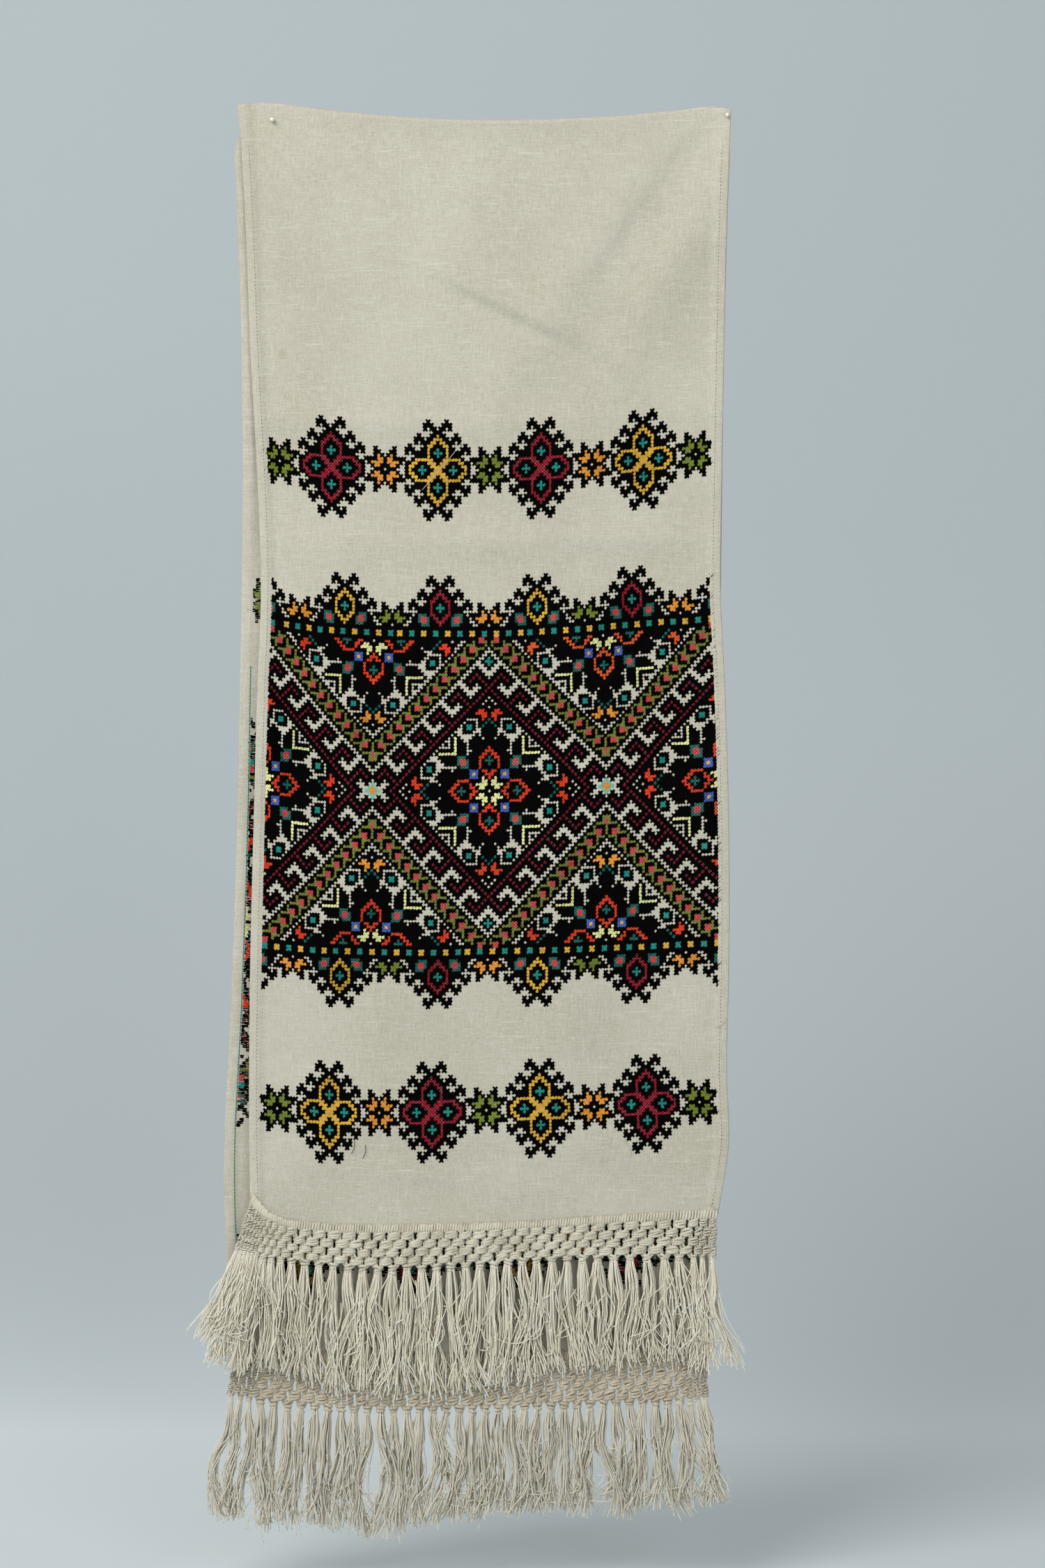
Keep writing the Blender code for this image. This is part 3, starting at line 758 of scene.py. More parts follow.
UPPER_ACROSS_TOP = at_places(
    BORDER_PLACES,
    0.014, 0.051, 0.1626, 0.2780, 0.391, 0.502, 0.612, 0.720, 0.829, 0.942, 0.978,
)
UPPER_ACROSS_LOW = at_places(
    BORDER_PLACES,
    0.013, 0.048, 0.1580, 0.2728, 0.387, 0.500, 0.610, 0.721, 0.832, 0.945, 0.982,
)
PANEL_ACROSS_TOP = {-74.5: 0.0205, -48: 0.1828, -16: 0.390, 0: 0.4955, 16: 0.6005, 48: 0.8063,
                    66: 0.9240, 74.5: 0.9850}
PANEL_ACROSS_LOW = {-74.5: 0.0241, -57: 0.1335, -48: 0.1875, -16: 0.392, 0: 0.4955, 16: 0.600,
                    48: 0.8073, 66: 0.9220, 74.5: 0.9820}
LOWER_ACROSS = at_places(
    BORDER_PLACES,
    0.019, 0.0590, 0.1680, 0.2715, 0.3817, 0.4949, 0.6078, 0.7203, 0.8302, 0.9403, 0.981,
)
PANEL_DROPS = {-0.5: 0.3467, 16.5: 0.3903, 36: 0.4387, 54: 0.4814, 65: 0.5098, 113.5: 0.6315,
               130.5: 0.6735}
UPPER_DROPS = {-0.5: 0.2283, 28.5: 0.3045}
LOWER_DROPS = {-0.5: 0.7144, 28.5: 0.7895}
UPPER_SAG_TOP = at_places(
    BORDER_SAG_PLACES,
    -0.0075, -0.0068, -0.0020, -0.0006, 0.0005, 0.0, -0.0013, -0.0035, -0.0072, -0.0118, -0.0128,
)
UPPER_SAG_LOW = at_places(
    BORDER_SAG_PLACES,
    -0.0078, -0.0071, -0.0024, -0.0008, 0.0003, 0.0, -0.0016, -0.0049, -0.0087, -0.0124, -0.0135,
)
PANEL_SAG_TOP = {-74: -0.0085, -65: -0.0057, -57: -0.0030, -48: -0.0017, -33: 0.0, -20: 0.0003,
                 2: 0.0005, 14: -0.0007, 22: -0.0018, 34: -0.0037, 46: -0.0064, 58: -0.0087,
                 66: -0.0093, 74: -0.0115}
PANEL_SAG_LOW = {-74: -0.0039, -65: -0.0022, -57: -0.0006, -45: 0.0002, -33: 0.0008, -21: 0.0014,
                 -10: 0.0009, 2: 0.0, 14: -0.0005, 26: -0.0011, 38: -0.0024, 50: -0.0031,
                 62: -0.0049, 74: -0.0060}
LOWER_SAG_TOP = at_places(
    BORDER_SAG_PLACES,
    -0.0028, -0.0019, 0.0008, 0.0016, 0.0014, 0.0, -0.0011, -0.0022, -0.0043, -0.0058, -0.0062,
)
LOWER_SAG_LOW = at_places(
    BORDER_SAG_PLACES,
    -0.0012, -0.0008, 0.0028, 0.0027, 0.0022, 0.0, -0.0022, -0.0030, -0.0056, -0.0065, -0.0070,
)
Band = namedtuple("Band", "chart across_top across_low drops sag_top sag_low")
BANDS = [
    Band(border_chart("mymy"), UPPER_ACROSS_TOP, UPPER_ACROSS_LOW, UPPER_DROPS, UPPER_SAG_TOP,
         UPPER_SAG_LOW),
    Band(panel_chart(), PANEL_ACROSS_TOP, PANEL_ACROSS_LOW, PANEL_DROPS, PANEL_SAG_TOP, PANEL_SAG_LOW),
    Band(border_chart("ymym"), LOWER_ACROSS, LOWER_ACROSS, LOWER_DROPS, LOWER_SAG_TOP, LOWER_SAG_LOW),
]


def at_key(table, key):
    return np.interp(key, list(table.keys()), list(table.values()))


def square_corners(band, front):
    """The corners of a band's stitch squares on the middle surface of the cloth, by row and column."""
    rows, columns = band.chart.shape
    u = np.arange(columns + 1) - CHART_HALF_WIDTH - 0.5
    r = np.arange(rows + 1) - 0.5
    down = smooth_step((r / rows))[:, None]
    sag = (1 - down) * at_key(band.sag_top, u) + down * at_key(band.sag_low, u)
    drop = at_key(band.drops, r)[:, None] + sag + (0.0 if front else BACK_END_LOWER)
    across = (1 - down) * at_key(band.across_top, u) + down * at_key(band.across_low, u)
    return point_at_drop(front, across, drop, drop)


# Places along a stitch with its width and height there, by front or not, and black or not.
STITCH_SECTIONS = {
    (True, False): [(0.01, 0.90, 0.15), (0.5, 1.08, 1.0), (0.99, 0.90, 0.15)],
    (True, True): [(-0.17, 1.20, 0.60), (0.5, 1.50, 1.05), (1.17, 1.20, 0.60)],
    (False, False): [(0.0, 1.0, 0.7), (1.0, 1.0, 0.7)],
    (False, True): [(-0.14, 1.4, 0.85), (1.14, 1.4, 0.85)],
}
NEAR_SIDE = np.array([0.0, -1.0, 0.0])
STITCH_HALF_WIDTH = 0.00066
STITCH_CROWN = 0.00052
UNDER_CROWN = 0.00036
SUNK_BASE = 0.00042
FLOAT_HALF_WIDTH = 0.00058
FLOAT_CROWN = 0.0004
FLOATS_UP_TO_COLUMN = 12


def stitched_squares(band, front, letter, rows, columns=None):
    """The four corners of one thread's squares in a range of rows: top pair, then low pair."""
    corners = square_corners(band, front)
    found = np.argwhere(band.chart[rows[0] : rows[1], :columns] == letter)
    j, i = (found + (rows[0], 0)).T
    return corners[j, i], corners[j, i + 1], corners[j + 1, i], corners[j + 1, i + 1]


def thread_floats(band, letter, rows, columns, dice):
    """The wrong side of the back end, where it shows past the front: two level floats to a square."""
    left, right, low_left, low_right = stitched_squares(band, False, letter, rows, columns)
    count = len(left)
    sections = STITCH_SECTIONS[False, False]
    bars = []
    for down in (0.26, 0.74):
        slip = dice.normal(0, 0.00016, (2, count, 3))
        starts = left + (low_left - left) * down + slip[0]
        ends = right + (low_right - right) * down + slip[1]
        stretch = 0.16 * (ends - starts)
        width = FLOAT_HALF_WIDTH * dice.normal(1.0, 0.12, count)
        crown = FLOAT_CROWN * dice.normal(1.0, 0.15, count)
        starts, ends = starts - stretch, ends + stretch
        bars.append(thread_bars(starts, ends, NEAR_SIDE, width, crown, SUNK_BASE, sections))
    return np.concatenate(bars)


def cross_stitches(band, front, letter, rows, dice):
    """All crosses of one thread in a range of rows of a band."""
    sections = STITCH_SECTIONS[front, letter == BLACK]
    top_left, top_right, low_left, low_right = stitched_squares(band, front, letter, rows)
    out = unit(np.cross(low_right - top_left, low_left - top_right))
    out *= np.sign(out[:, 1:2]) * (-1 if front else 1)
    count = len(out)
    jitter = dice.normal(0, 0.00006, (4, count, 3))
    width = STITCH_HALF_WIDTH * dice.normal(1.0, 0.08, (2, count))
    crown = dice.normal(1.0, 0.10, (2, count)) * [[UNDER_CROWN], [STITCH_CROWN]]
    bars = []
    for k, (start, end) in enumerate(((top_left, low_right), (low_left, top_right))):
        start, end = start + jitter[2 * k], end + jitter[2 * k + 1]
        bars.append(thread_bars(start, end, out, width[k], crown[k], SUNK_BASE, sections))
    return np.concatenate(bars)


def thread_group():
    """Shader group: the twisted plies and the fuzz of embroidery thread."""
    group, result = new_group("twisted_thread", ("Height", "Wear"))
    place = object_place(group)
    plies = wave_node(group, place, "Z", {"Scale": 620.0, "Distortion": 3.0, "Detail": 2.0})
    height = plus(group, plies, noise_node(group, place, 3200.0, 3.0))
    wear = plus(group, noise_node(group, place, 24.0, 3.0), noise_node(group, place, 420.0, 2.0))
    group.links.new(height, result.inputs["Height"])
    group.links.new(times(group, wear, 0.5), result.inputs["Wear"])
    return group


def thread_material(thread, group):
    """Dyed cotton: the colour deepens and fades a little from stitch to stitch."""
    made, tree, shader = new_material(thread.name + "_thread")
    twisted = use_group(tree, group)
    deep = tuple(0.62 * c for c in thread.colour)
    pale = tuple(min(1.28 * c + 0.0005, 1.0) for c in thread.colour)
    shade = colour_ramp(tree, twisted["Wear"], [(0.32, deep), (0.5, thread.colour), (0.68, pale)])
    tree.links.new(shade, shader.inputs["Base Color"])
    set_inputs(shader, {"Roughness": 0.75, "Specular IOR Level": 0.02})
    bump_node(tree, twisted["Height"], 0.00012, 0.6, shader)
    return made


twisted_thread = thread_group()
thread_finish = {thread.letter: thread_material(thread, twisted_thread) for thread in THREADS}
stitch_pieces = []
stitch_dice = np.random.default_rng(41)
for front, end_name in ((True, "front"), (False, "back")):
    for thread in THREADS:
        halves = [("", (0, PANEL_ROWS))]
        if thread.letter == BLACK:
            halves = [("_upper", (0, PANEL_MIDDLE)), ("_lower", (PANEL_MIDDLE, PANEL_ROWS))]
        for part_name, rows in halves:
            made = []
            for band in BANDS:
                made.append(cross_stitches(band, front, thread.letter, rows, stitch_dice))
                if not front:
                    columns = None if band is BANDS[-1] else FLOATS_UP_TO_COLUMN
                    made.append(thread_floats(band, thread.letter, rows, columns, stitch_dice))
            bars = np.concatenate(made)
            piece = new_mesh_object(bars, bar_faces(len(bars), bars.shape[1]))
            name = f"{end_name}_stitches_{thread.name}{part_name}"
            finish_piece(piece, name, "cloth", thread_finish[thread.letter])
            stitch_pieces.append(piece)

# The loose ends. A few ends of embroidery cotton, undyed and black, were never trimmed. Each lies in a
# slack curve over the front panel, and one reaches past its right edge.
THREAD_END_RADIUS = 0.00022
THREAD_END_LIFT = 0.0016
THREAD_END_POINTS = 16
ThreadEnd = namedtuple("ThreadEnd", "colour start bend end")
THREAD_ENDS = rows_of(
    ThreadEnd,
    ("pale", (-0.0474, 0.2815), (-0.0270, 0.2590), (-0.0180, 0.2465)),
    ("pale", (0.1750, 0.6890), (0.1830, 0.6860), (0.1852, 0.6790)),
    ("pale", (0.1700, 0.8230), (0.1785, 0.8280), (0.1800, 0.8345)),
    ("pale", (0.1050, 0.7740), (0.1120, 0.7800), (0.1105, 0.7870)),
    ("black", (-0.0990, 0.7745), (-0.0975, 0.7800), (-0.1010, 0.7850)),
    ("black", (-0.0905, 0.7780), (-0.0890, 0.7840), (-0.0925, 0.7885)),
)


def tubes(paths, radius, sides, reference):
    """Points and faces of closed tubes along paths, given as (tubes, points, xyz)."""
    count, steps, _ = paths.shape
    along = unit(np.gradient(paths, axis=1))
    reference = np.asarray(reference, float)
    side = unit(reference - along * (along @ reference)[..., None])
    up = np.cross(along, side)
    turn = 2 * np.pi * np.arange(sides) / sides
    radius = np.broadcast_to(radius, (count, steps))[..., None, None]
    ring = np.cos(turn)[:, None] * side[:, :, None] + np.sin(turn)[:, None] * up[:, :, None]
    points = paths[:, :, None] + radius * ring
    quads = []
    for step in range(steps - 1):
        for k in range(sides):
            here, after = step * sides + k, step * sides + (k + 1) % sides
            quads.append((here, after, after + sides, here + sides))
    starts = np.arange(count) * steps * sides
    faces = (starts[:, None, None] + np.array(quads)).reshape(-1, 4).tolist()
    first_cap = np.arange(sides)[::-1]
    last_cap = np.arange(sides) + (steps - 1) * sides
    for cap in (first_cap, last_cap):
        faces += (starts[:, None] + cap).tolist()
    return points.reshape(-1, 3), faces


def thread_ends(colour):
    """Loose ends of one colour: a slack curve from the start to the end, drawn towards the bend."""
    rows = [row for row in THREAD_ENDS if row.colour == colour]
    t = np.linspace(0, 1, THREAD_END_POINTS)[:, None]
    paths = []
    for row in rows:
        start, bend, end = (np.array(place) for place in (row.start, row.bend, row.end))
        x, drop = ((1 - t) ** 2 * start + 2 * t * (1 - t) * bend + t**2 * end).T
        left, right = smooth_curve(FRONT_EDGES, "left", drop), smooth_curve(FRONT_EDGES, "right", drop)
        path = point_at_drop(True, (x - left) / (right - left), drop, drop)
        path[:, 1] -= THREAD_END_LIFT
        paths.append(path)
    return tubes(np.array(paths), THREAD_END_RADIUS, 4, (0, 1, 0))


thread_finish["pale"] = thread_material(Thread("pale", "undyed", (0.62, 0.59, 0.50)), twisted_thread)
thread_finish["black"] = thread_finish[BLACK]
for colour in ("pale", "black"):
    piece = new_mesh_object(*thread_ends(colour))
    finish_piece(piece, "loose_ends_" + colour, "cloth", thread_finish[colour])
    stitch_pieces.append(piece)

# The turquoise line. Short stitches of turquoise cotton run down the back panel's hems, just inside
# the selvedges, on the side that shows past the front panel.
TURQUOISE_LINE = np.arange(0.415, 0.925, 0.0027)
TURQUOISE_FROM_EDGE = HEM_WIDTH - 0.0003
TURQUOISE_STITCH = 0.0022
TURQUOISE_HALF_WIDTH = 0.00042
TURQUOISE_CROWN = 0.00035
line_size = (TURQUOISE_FROM_EDGE, TURQUOISE_STITCH, TURQUOISE_HALF_WIDTH, TURQUOISE_CROWN)
line_bars = seam_bars(False, -1, TURQUOISE_LINE, *line_size)
turquoise_seam = new_mesh_object(line_bars, bar_faces(len(line_bars), len(SEAM_SECTIONS)))
finish_piece(turquoise_seam, "turquoise_seam", "cloth", thread_finish["t"])
stitch_pieces += [turquoise_seam, hem_seams]

# The two knotted fringes. Soft cotton yarn is whipped over each raw end of the linen, tied in four
# rows of alternate knots, and gathered into thirty-nine tassels whose threads hang loose and frayed.
KNOTTED_EDGE_GAP = 0.0006
TASSELS = 39
Fringe = namedtuple("Fringe", "share top_x low_x low_drop tip_x tip_drop")
FRONT_FRINGE = rows_of(
    Fringe,
    (0.00, -0.1765, -0.1880, 0.8545, -0.2130, 0.9270),
    (0.07, -0.1665, -0.1735, 0.8580, -0.1900, 0.9400),
    (0.15, -0.1550, -0.1565, 0.8625, -0.1650, 0.9490),
    (0.30, -0.0992, -0.1000, 0.8695, -0.1035, 0.9620),
    (0.50, -0.0230, -0.0230, 0.8680, -0.0240, 0.9595), (0.70, 0.0542, 0.0537, 0.8630, 0.0553, 0.9475),
    (0.85, 0.1129, 0.1124, 0.8617, 0.1161, 0.9437), (1.00, 0.1765, 0.1755, 0.8617, 0.1838, 0.9445),
)
BACK_FRINGE = rows_of(
    Fringe,
    (0.00, -0.1900, -0.1955, 0.9665, -0.2145, 1.0550),
    (0.05, -0.1735, -0.1765, 0.9705, -0.1860, 1.0620),
    (0.15, -0.1372, -0.1383, 0.9750, -0.1430, 1.0655),
    (0.35, -0.0642, -0.0648, 0.9780, -0.0664, 1.0680), (0.55, 0.0087, 0.0087, 0.9770, 0.0080, 1.0585),
    (0.75, 0.0817, 0.0817, 0.9740, 0.0820, 1.0520), (0.90, 0.1346, 0.1362, 0.9718, 0.1425, 1.0537),
    (1.00, 0.1680, 0.1698, 0.9690, 0.1843, 1.0510),
)
# The knots are crowded at the corners: the count of tassels from the left, and the share of the width.
FRONT_SPREAD = {0: 0.0, 5.5: 0.076, 8.5: 0.157, 12.5: 0.263, 16.5: 0.379, 22.5: 0.551, 26.5: 0.663,
                31.5: 0.8135, 34.5: 0.908, 36.5: 0.9595, 39: 1.0}
BACK_SPREAD = {0: 0.0, 3: 0.052, 36: 0.950, 39: 1.0}
WHIP_RADIUS = 0.00102
WHIP_WRAPS = 190
WHIP_LEAN = 0.0016
WHIP_LOOP = [
    (-0.13, 0.0003), (-0.05, 0.0011), (0.02, 0.0017), (0.07, 0.0013), (0.095, 0.0),
    (0.07, -0.0013), (0.02, -0.0017), (-0.05, -0.0011), (-0.13, -0.0003),
]
YARN_RADIUS = 0.00102
FULL_PITCH = 0.0095
KNOT_ROWS = (0.19, 0.425, 0.655, 0.885)
KNOT_ROW_HEIGHT = 0.235
KNOT_ARC = [(-0.39, 0.40, -0.0004), (-0.24, 0.85, 0.0014), (0.0, 1.0, 0.0023), (0.24, 0.85, 0.0014),
            (0.39, 0.40, -0.0004)]
KNOT_ARCS_DOWN = (-0.30, 0.0, 0.30)
KNOT_SLANT = 0.34
KNOT_LEG = [(0.14, 0.15, 0.0), (0.27, 0.48, 0.0004), (0.40, 0.82, 0.0)]
TOP_LEG = [(0.34, -0.60, 0.0006), (0.26, -0.35, 0.0008), (0.16, -0.10, 0.0004)]
NECK = 1.06
NECK_WRAPS = ((1.03, 0.0026), (1.11, 0.0024), (1.19, 0.0020))
NECK_SIDES = 8
THREAD_RADIUS = 0.00055
THREAD_POINTS = 14
LOCKS_IN_TASSEL = 7
THREADS_IN_LOCK = 5
BUNDLE_AT_NECK = (0.0021, 0.0021)
BUNDLE_OPEN = (0.0048, 0.0042)
BUNDLE_OPENS_FROM = -0.02
BUNDLE_OPENS_BY = 0.24
TIPS_BACK = {True: 0.002, False: 0.0}
CUT_END = 0.012
# The waves of a tassel, its locks and its threads: their size, and their slowest and fastest pace.
TASSEL_SWAY = (0.0036, 0.5, 1.1)
LOCK_SWAY = (0.0014, 0.5, 1.2)
LOCK_RIPPLE = (0.0010, 1.4, 2.6)
THREAD_SWAY = (0.0005, 0.8, 1.8)
THREAD_RIPPLE = (0.00035, 1.8, 3.2)
LOCK_FORWARD = (0.0010, 0.4, 1.0)
THREAD_FORWARD = (0.0006, 0.8, 1.8)
STRAY_SHARE = 0.10
LOOSE_THREADS = 100
LOOSE_POINTS = 12


def edge_line(front):
    return panel_point(front, np.linspace(0, 1, 240), FRONT_LENGTH if front else BACK_LENGTH)


EDGE_LINES = {front: edge_line(front) for front in (True, False)}


def heading_point(front, share, down, out):
    """Points on a knotted heading: down is 0 at the cloth's edge and 1 at the tassels."""
    table = FRONT_FRINGE if front else BACK_FRINGE
    line = EDGE_LINES[front]
    top_x = smooth_curve(table, "top_x", share)
    top_z = np.interp(top_x, line[:, 0], line[:, 2]) - KNOTTED_EDGE_GAP
    low_x = smooth_curve(table, "low_x", share)
    low_z = -smooth_curve(table, "low_drop", share)
    y = np.interp(top_x, line[:, 0], line[:, 1]) - out
    return np.stack([top_x + (low_x - top_x) * down, y, top_z + (low_z - top_z) * down], axis=-1)


def joined(parts):
    """One set of points and faces from several."""
    points, faces, start = [], [], 0
    for part_points, part_faces in parts:
        points.append(part_points)
        faces += [tuple(v + start for v in face) for face in part_faces]
        start += len(part_points)
    return np.concatenate(points), faces


def spread(front, count):
    """The share of the heading's width at a count of tassels from its left corner."""
    table = FRONT_SPREAD if front else BACK_SPREAD
    return at_key(table, np.clip(count, 0.0, TASSELS))


def slenderness(front, count):
    """Yarn lies thinner where the knots are crowded."""
    width = CLOTH_FLAT[0] * (spread(front, count + 0.5) - spread(front, count - 0.5))
    return np.clip(width / FULL_PITCH, 0.62, 1.12)


def whipped_edge(front, dice):
    share = (np.arange(WHIP_WRAPS) + 0.5) / WHIP_WRAPS
    loop = np.array(WHIP_LOOP)
    lean = WHIP_LEAN * np.linspace(1, -1, len(loop))
    uneven = 1 + dice.normal(0, 0.10, (WHIP_WRAPS, 1))
    paths = heading_point(front, share[:, None] + lean, loop[:, 0] * uneven, loop[:, 1])
    return tubes(paths, WHIP_RADIUS * dice.normal(1.0, 0.10, (WHIP_WRAPS, 1)), 4, (1, 0, 0))


def knot_strand(front, places, px, py, out, radius, sides, reference):
    """One strand of every knot, by its steps from the knot's middle."""
    share = spread(front, places[:, :1] + px)
    down = places[:, 1:] + py * KNOT_ROW_HEIGHT
    out = np.broadcast_to(out, share.shape)
    return tubes(heading_point(front, share, down, out), radius, sides, reference)


def knot_rows(front, dice):
    """The alternate knots: three strands slant over each, and pairs of yarns lead on to the next."""
    places = []
    for row, down in enumerate(KNOT_ROWS):
        shift = 0.5 if row % 2 == 0 else 0.0
        places += [(i + shift, down) for i in range(TASSELS + (row % 2))]
    places = np.array(places)
    top = places[:, 1] == KNOT_ROWS[0]
    places[:, 0] = np.clip(places[:, 0], 0.2, TASSELS - 0.2)
    places = places + dice.normal(0, 1, places.shape) * (0.035, 0.009)
    one = (len(places), 1)
    thick = YARN_RADIUS * slenderness(front, places[:, :1])
    arc = np.array(KNOT_ARC)
    parts = []
    for facing, sides in ((1, 6), (-1, 4)):
        for lift in KNOT_ARCS_DOWN:
            slant = -facing * KNOT_SLANT * dice.normal(1.0, 0.45, one)
            px = arc[:, 0] * dice.normal(1.0, 0.06, one)
            py = arc[:, 1] * lift + slant * arc[:, 0] + dice.normal(0, 0.03, one)
            out = facing * arc[:, 2] * dice.normal(1.0, 0.12, one)
            width = thick * dice.normal(1.0, 0.08, one)
            parts.append(knot_strand(front, places, px, py, out, width, sides, (0, 0, 1)))
    legs = (
        (KNOT_LEG, (-0.10, 0.10), places, thick, 0.015),
        (TOP_LEG, (-0.10, 0.07), places[top], 0.85 * thick[top], 0.02),
    )
    for leg, aparts, starts, radius, slip in legs:
        leg = np.array(leg)
        for side in (-1, 1):
            for apart in aparts:
                px = side * (leg[:, 0] + apart) + dice.normal(0, slip, (len(starts), 1))
                parts.append(knot_strand(front, starts, px, leg[:, 1], leg[:, 2], radius, 5, (0, 1, 0)))
    return joined(parts)


def tassel_counts():
    return np.arange(TASSELS) + 0.5


def neck_wraps(front, dice):
    """The turns of yarn that gather each tassel under its knot."""
    turn = np.linspace(0, 2 * np.pi, NECK_SIDES + 1)
    slender = slenderness(front, tassel_counts())[:, None]
    parts = []
    for level, radius in NECK_WRAPS:
        level = level + dice.normal(0, 0.012, TASSELS)
        middle = heading_point(front, spread(front, tassel_counts()), level, np.zeros(TASSELS))
        size = radius * slender * dice.normal(1.0, 0.08, (TASSELS, 1))
        tilt = dice.normal(0, 0.0009, (TASSELS, 1))
        ring = [size * np.cos(turn), -0.9 * size * np.sin(turn), tilt * np.cos(turn)]
        paths = middle[:, None] + np.stack(ring, axis=-1)
        parts.append(tubes(paths, 0.9 * YARN_RADIUS * slender, 5, (0, 0, 1)))
    return joined(parts)


def along_thread(points):
    """Shares of a thread's length; its last stretch is short, so its cut end stays crisp."""
    return np.append(np.linspace(0, 1 - CUT_END, points - 1), 1.0)


def waves(dice, shape, t, size, slowest, fastest):
    """Sideways waves of threads, of random size, pace and start."""
    pace = dice.uniform(slowest, fastest, shape)
    return dice.normal(0, size, shape) * np.sin(2 * np.pi * (pace * t + dice.uniform(0, 1, shape)))


def tassel_threads(front, dice):
    """Every thread of every tassel: gathered at the neck, opening out in wavy locks, frayed at its tip."""
    table = FRONT_FRINGE if front else BACK_FRINGE
    per_tassel = (TASSELS, 1, 1, 1)
    per_lock = (TASSELS, LOCKS_IN_TASSEL, 1, 1)
    per_thread = (TASSELS, LOCKS_IN_TASSEL, THREADS_IN_LOCK, 1)
    share = spread(front, tassel_counts())
    neck = heading_point(front, share, np.full(TASSELS, NECK), np.zeros(TASSELS))
    x, y, z = (neck[:, k].reshape(per_tassel) for k in range(3))
    tip_x = smooth_curve(table, "tip_x", share) + dice.normal(0, 0.0030, TASSELS)
    tip_z = -smooth_curve(table, "tip_drop", share) + dice.normal(0, 0.0026, TASSELS)
    t = along_thread(THREAD_POINTS)
    loose = smooth_step((t - 0.04) / 0.5)

    def sway(shape, wave):
        return waves(dice, shape, t, *wave) * loose

    angle = 2 * np.pi * (np.arange(LOCKS_IN_TASSEL) / LOCKS_IN_TASSEL).reshape(1, -1, 1, 1)
    angle = angle + dice.uniform(0, 2 * np.pi, per_tassel) + dice.normal(0, 0.30, per_thread)
    reach = np.clip(dice.normal(0.76, 0.16, per_thread), 0.1, 1.05)
    slender = slenderness(front, tassel_counts()).reshape(per_tassel)
    opening = smooth_step((t - BUNDLE_OPENS_FROM) / (BUNDLE_OPENS_BY - BUNDLE_OPENS_FROM))
    wide, deep = (a + (b - a) * opening for a, b in zip(BUNDLE_AT_NECK, BUNDLE_OPEN))
    stray = np.where(dice.uniform(0, 1, per_thread) < STRAY_SHARE, 1.0, 0.0)
    aside = sway(per_tassel, TASSEL_SWAY) + sway(per_lock, LOCK_SWAY) + sway(per_lock, LOCK_RIPPLE)
    aside = aside + dice.normal(0, 0.0026, per_lock) * t * t
    aside = aside + sway(per_thread, THREAD_SWAY) + sway(per_thread, THREAD_RIPPLE)
    aside = aside + stray * dice.normal(0, 0.0050, per_thread) * loose
    curl = dice.normal(0, 0.0042, per_thread) * smooth_step((t - 0.62) / 0.38) ** 2
    forward = sway(per_lock, LOCK_FORWARD) + sway(per_thread, THREAD_FORWARD) + 0.0018 * stray * loose
    length = 1 + dice.normal(0, 0.03, per_lock) + dice.normal(0, 0.035, per_thread) - 0.12 * stray
    across = slender * np.cos(angle) * reach * wide + aside + curl
    outward = slender * np.sin(angle) * reach * deep - forward + TIPS_BACK[front] * t
    x = x + (tip_x.reshape(per_tassel) - x) * t + across
    z = z + (tip_z.reshape(per_tassel) - z) * t * length
    paths = np.stack(np.broadcast_arrays(x, y + outward, z), axis=-1).reshape(-1, THREAD_POINTS, 3)
    thin = np.linspace(1.0, 0.85, THREAD_POINTS) * dice.normal(1.0, 0.12, (len(paths), 1))
    return tubes(paths, THREAD_RADIUS * thin, 3, (-1, 0, 0))


def loose_threads(front, dice):
    """Single threads that have pulled free and lie slantwise over their neighbours, hooked at the end."""
    table = FRONT_FRINGE if front else BACK_FRINGE
    share = spread(front, dice.uniform(1, TASSELS - 1, LOOSE_THREADS))
    start = heading_point(front, share, dice.uniform(1.2, 3.2, LOOSE_THREADS), np.zeros(LOOSE_THREADS))
    tip_z = -smooth_curve(table, "tip_drop", share)
    t = along_thread(LOOSE_POINTS)
    one = (LOOSE_THREADS, 1)
    slide = dice.choice([-1.0, 1.0], one) * dice.uniform(0.004, 0.016, one)
    reach = dice.uniform(0.35, 0.95, one) * (tip_z - start[:, 2])[:, None]
    hook = dice.normal(0, 0.0045, one) * np.sin(np.pi * t) + dice.normal(0, 0.006, one) * t**4
    x = start[:, :1] + slide * smooth_step(t) + hook + waves(dice, one, t, 0.0006, 1.5, 3.0)
    y = start[:, 1:2] - 0.0026 - 0.0016 * np.sin(np.pi * t) + 0.0012 * t
    z = start[:, 2:] + reach * (t - dice.uniform(0.0, 0.75, one) * t**4)
    paths = np.stack(np.broadcast_arrays(x, y, z), axis=-1)
    return tubes(paths, 0.8 * THREAD_RADIUS, 3, (-1, 0, 0))


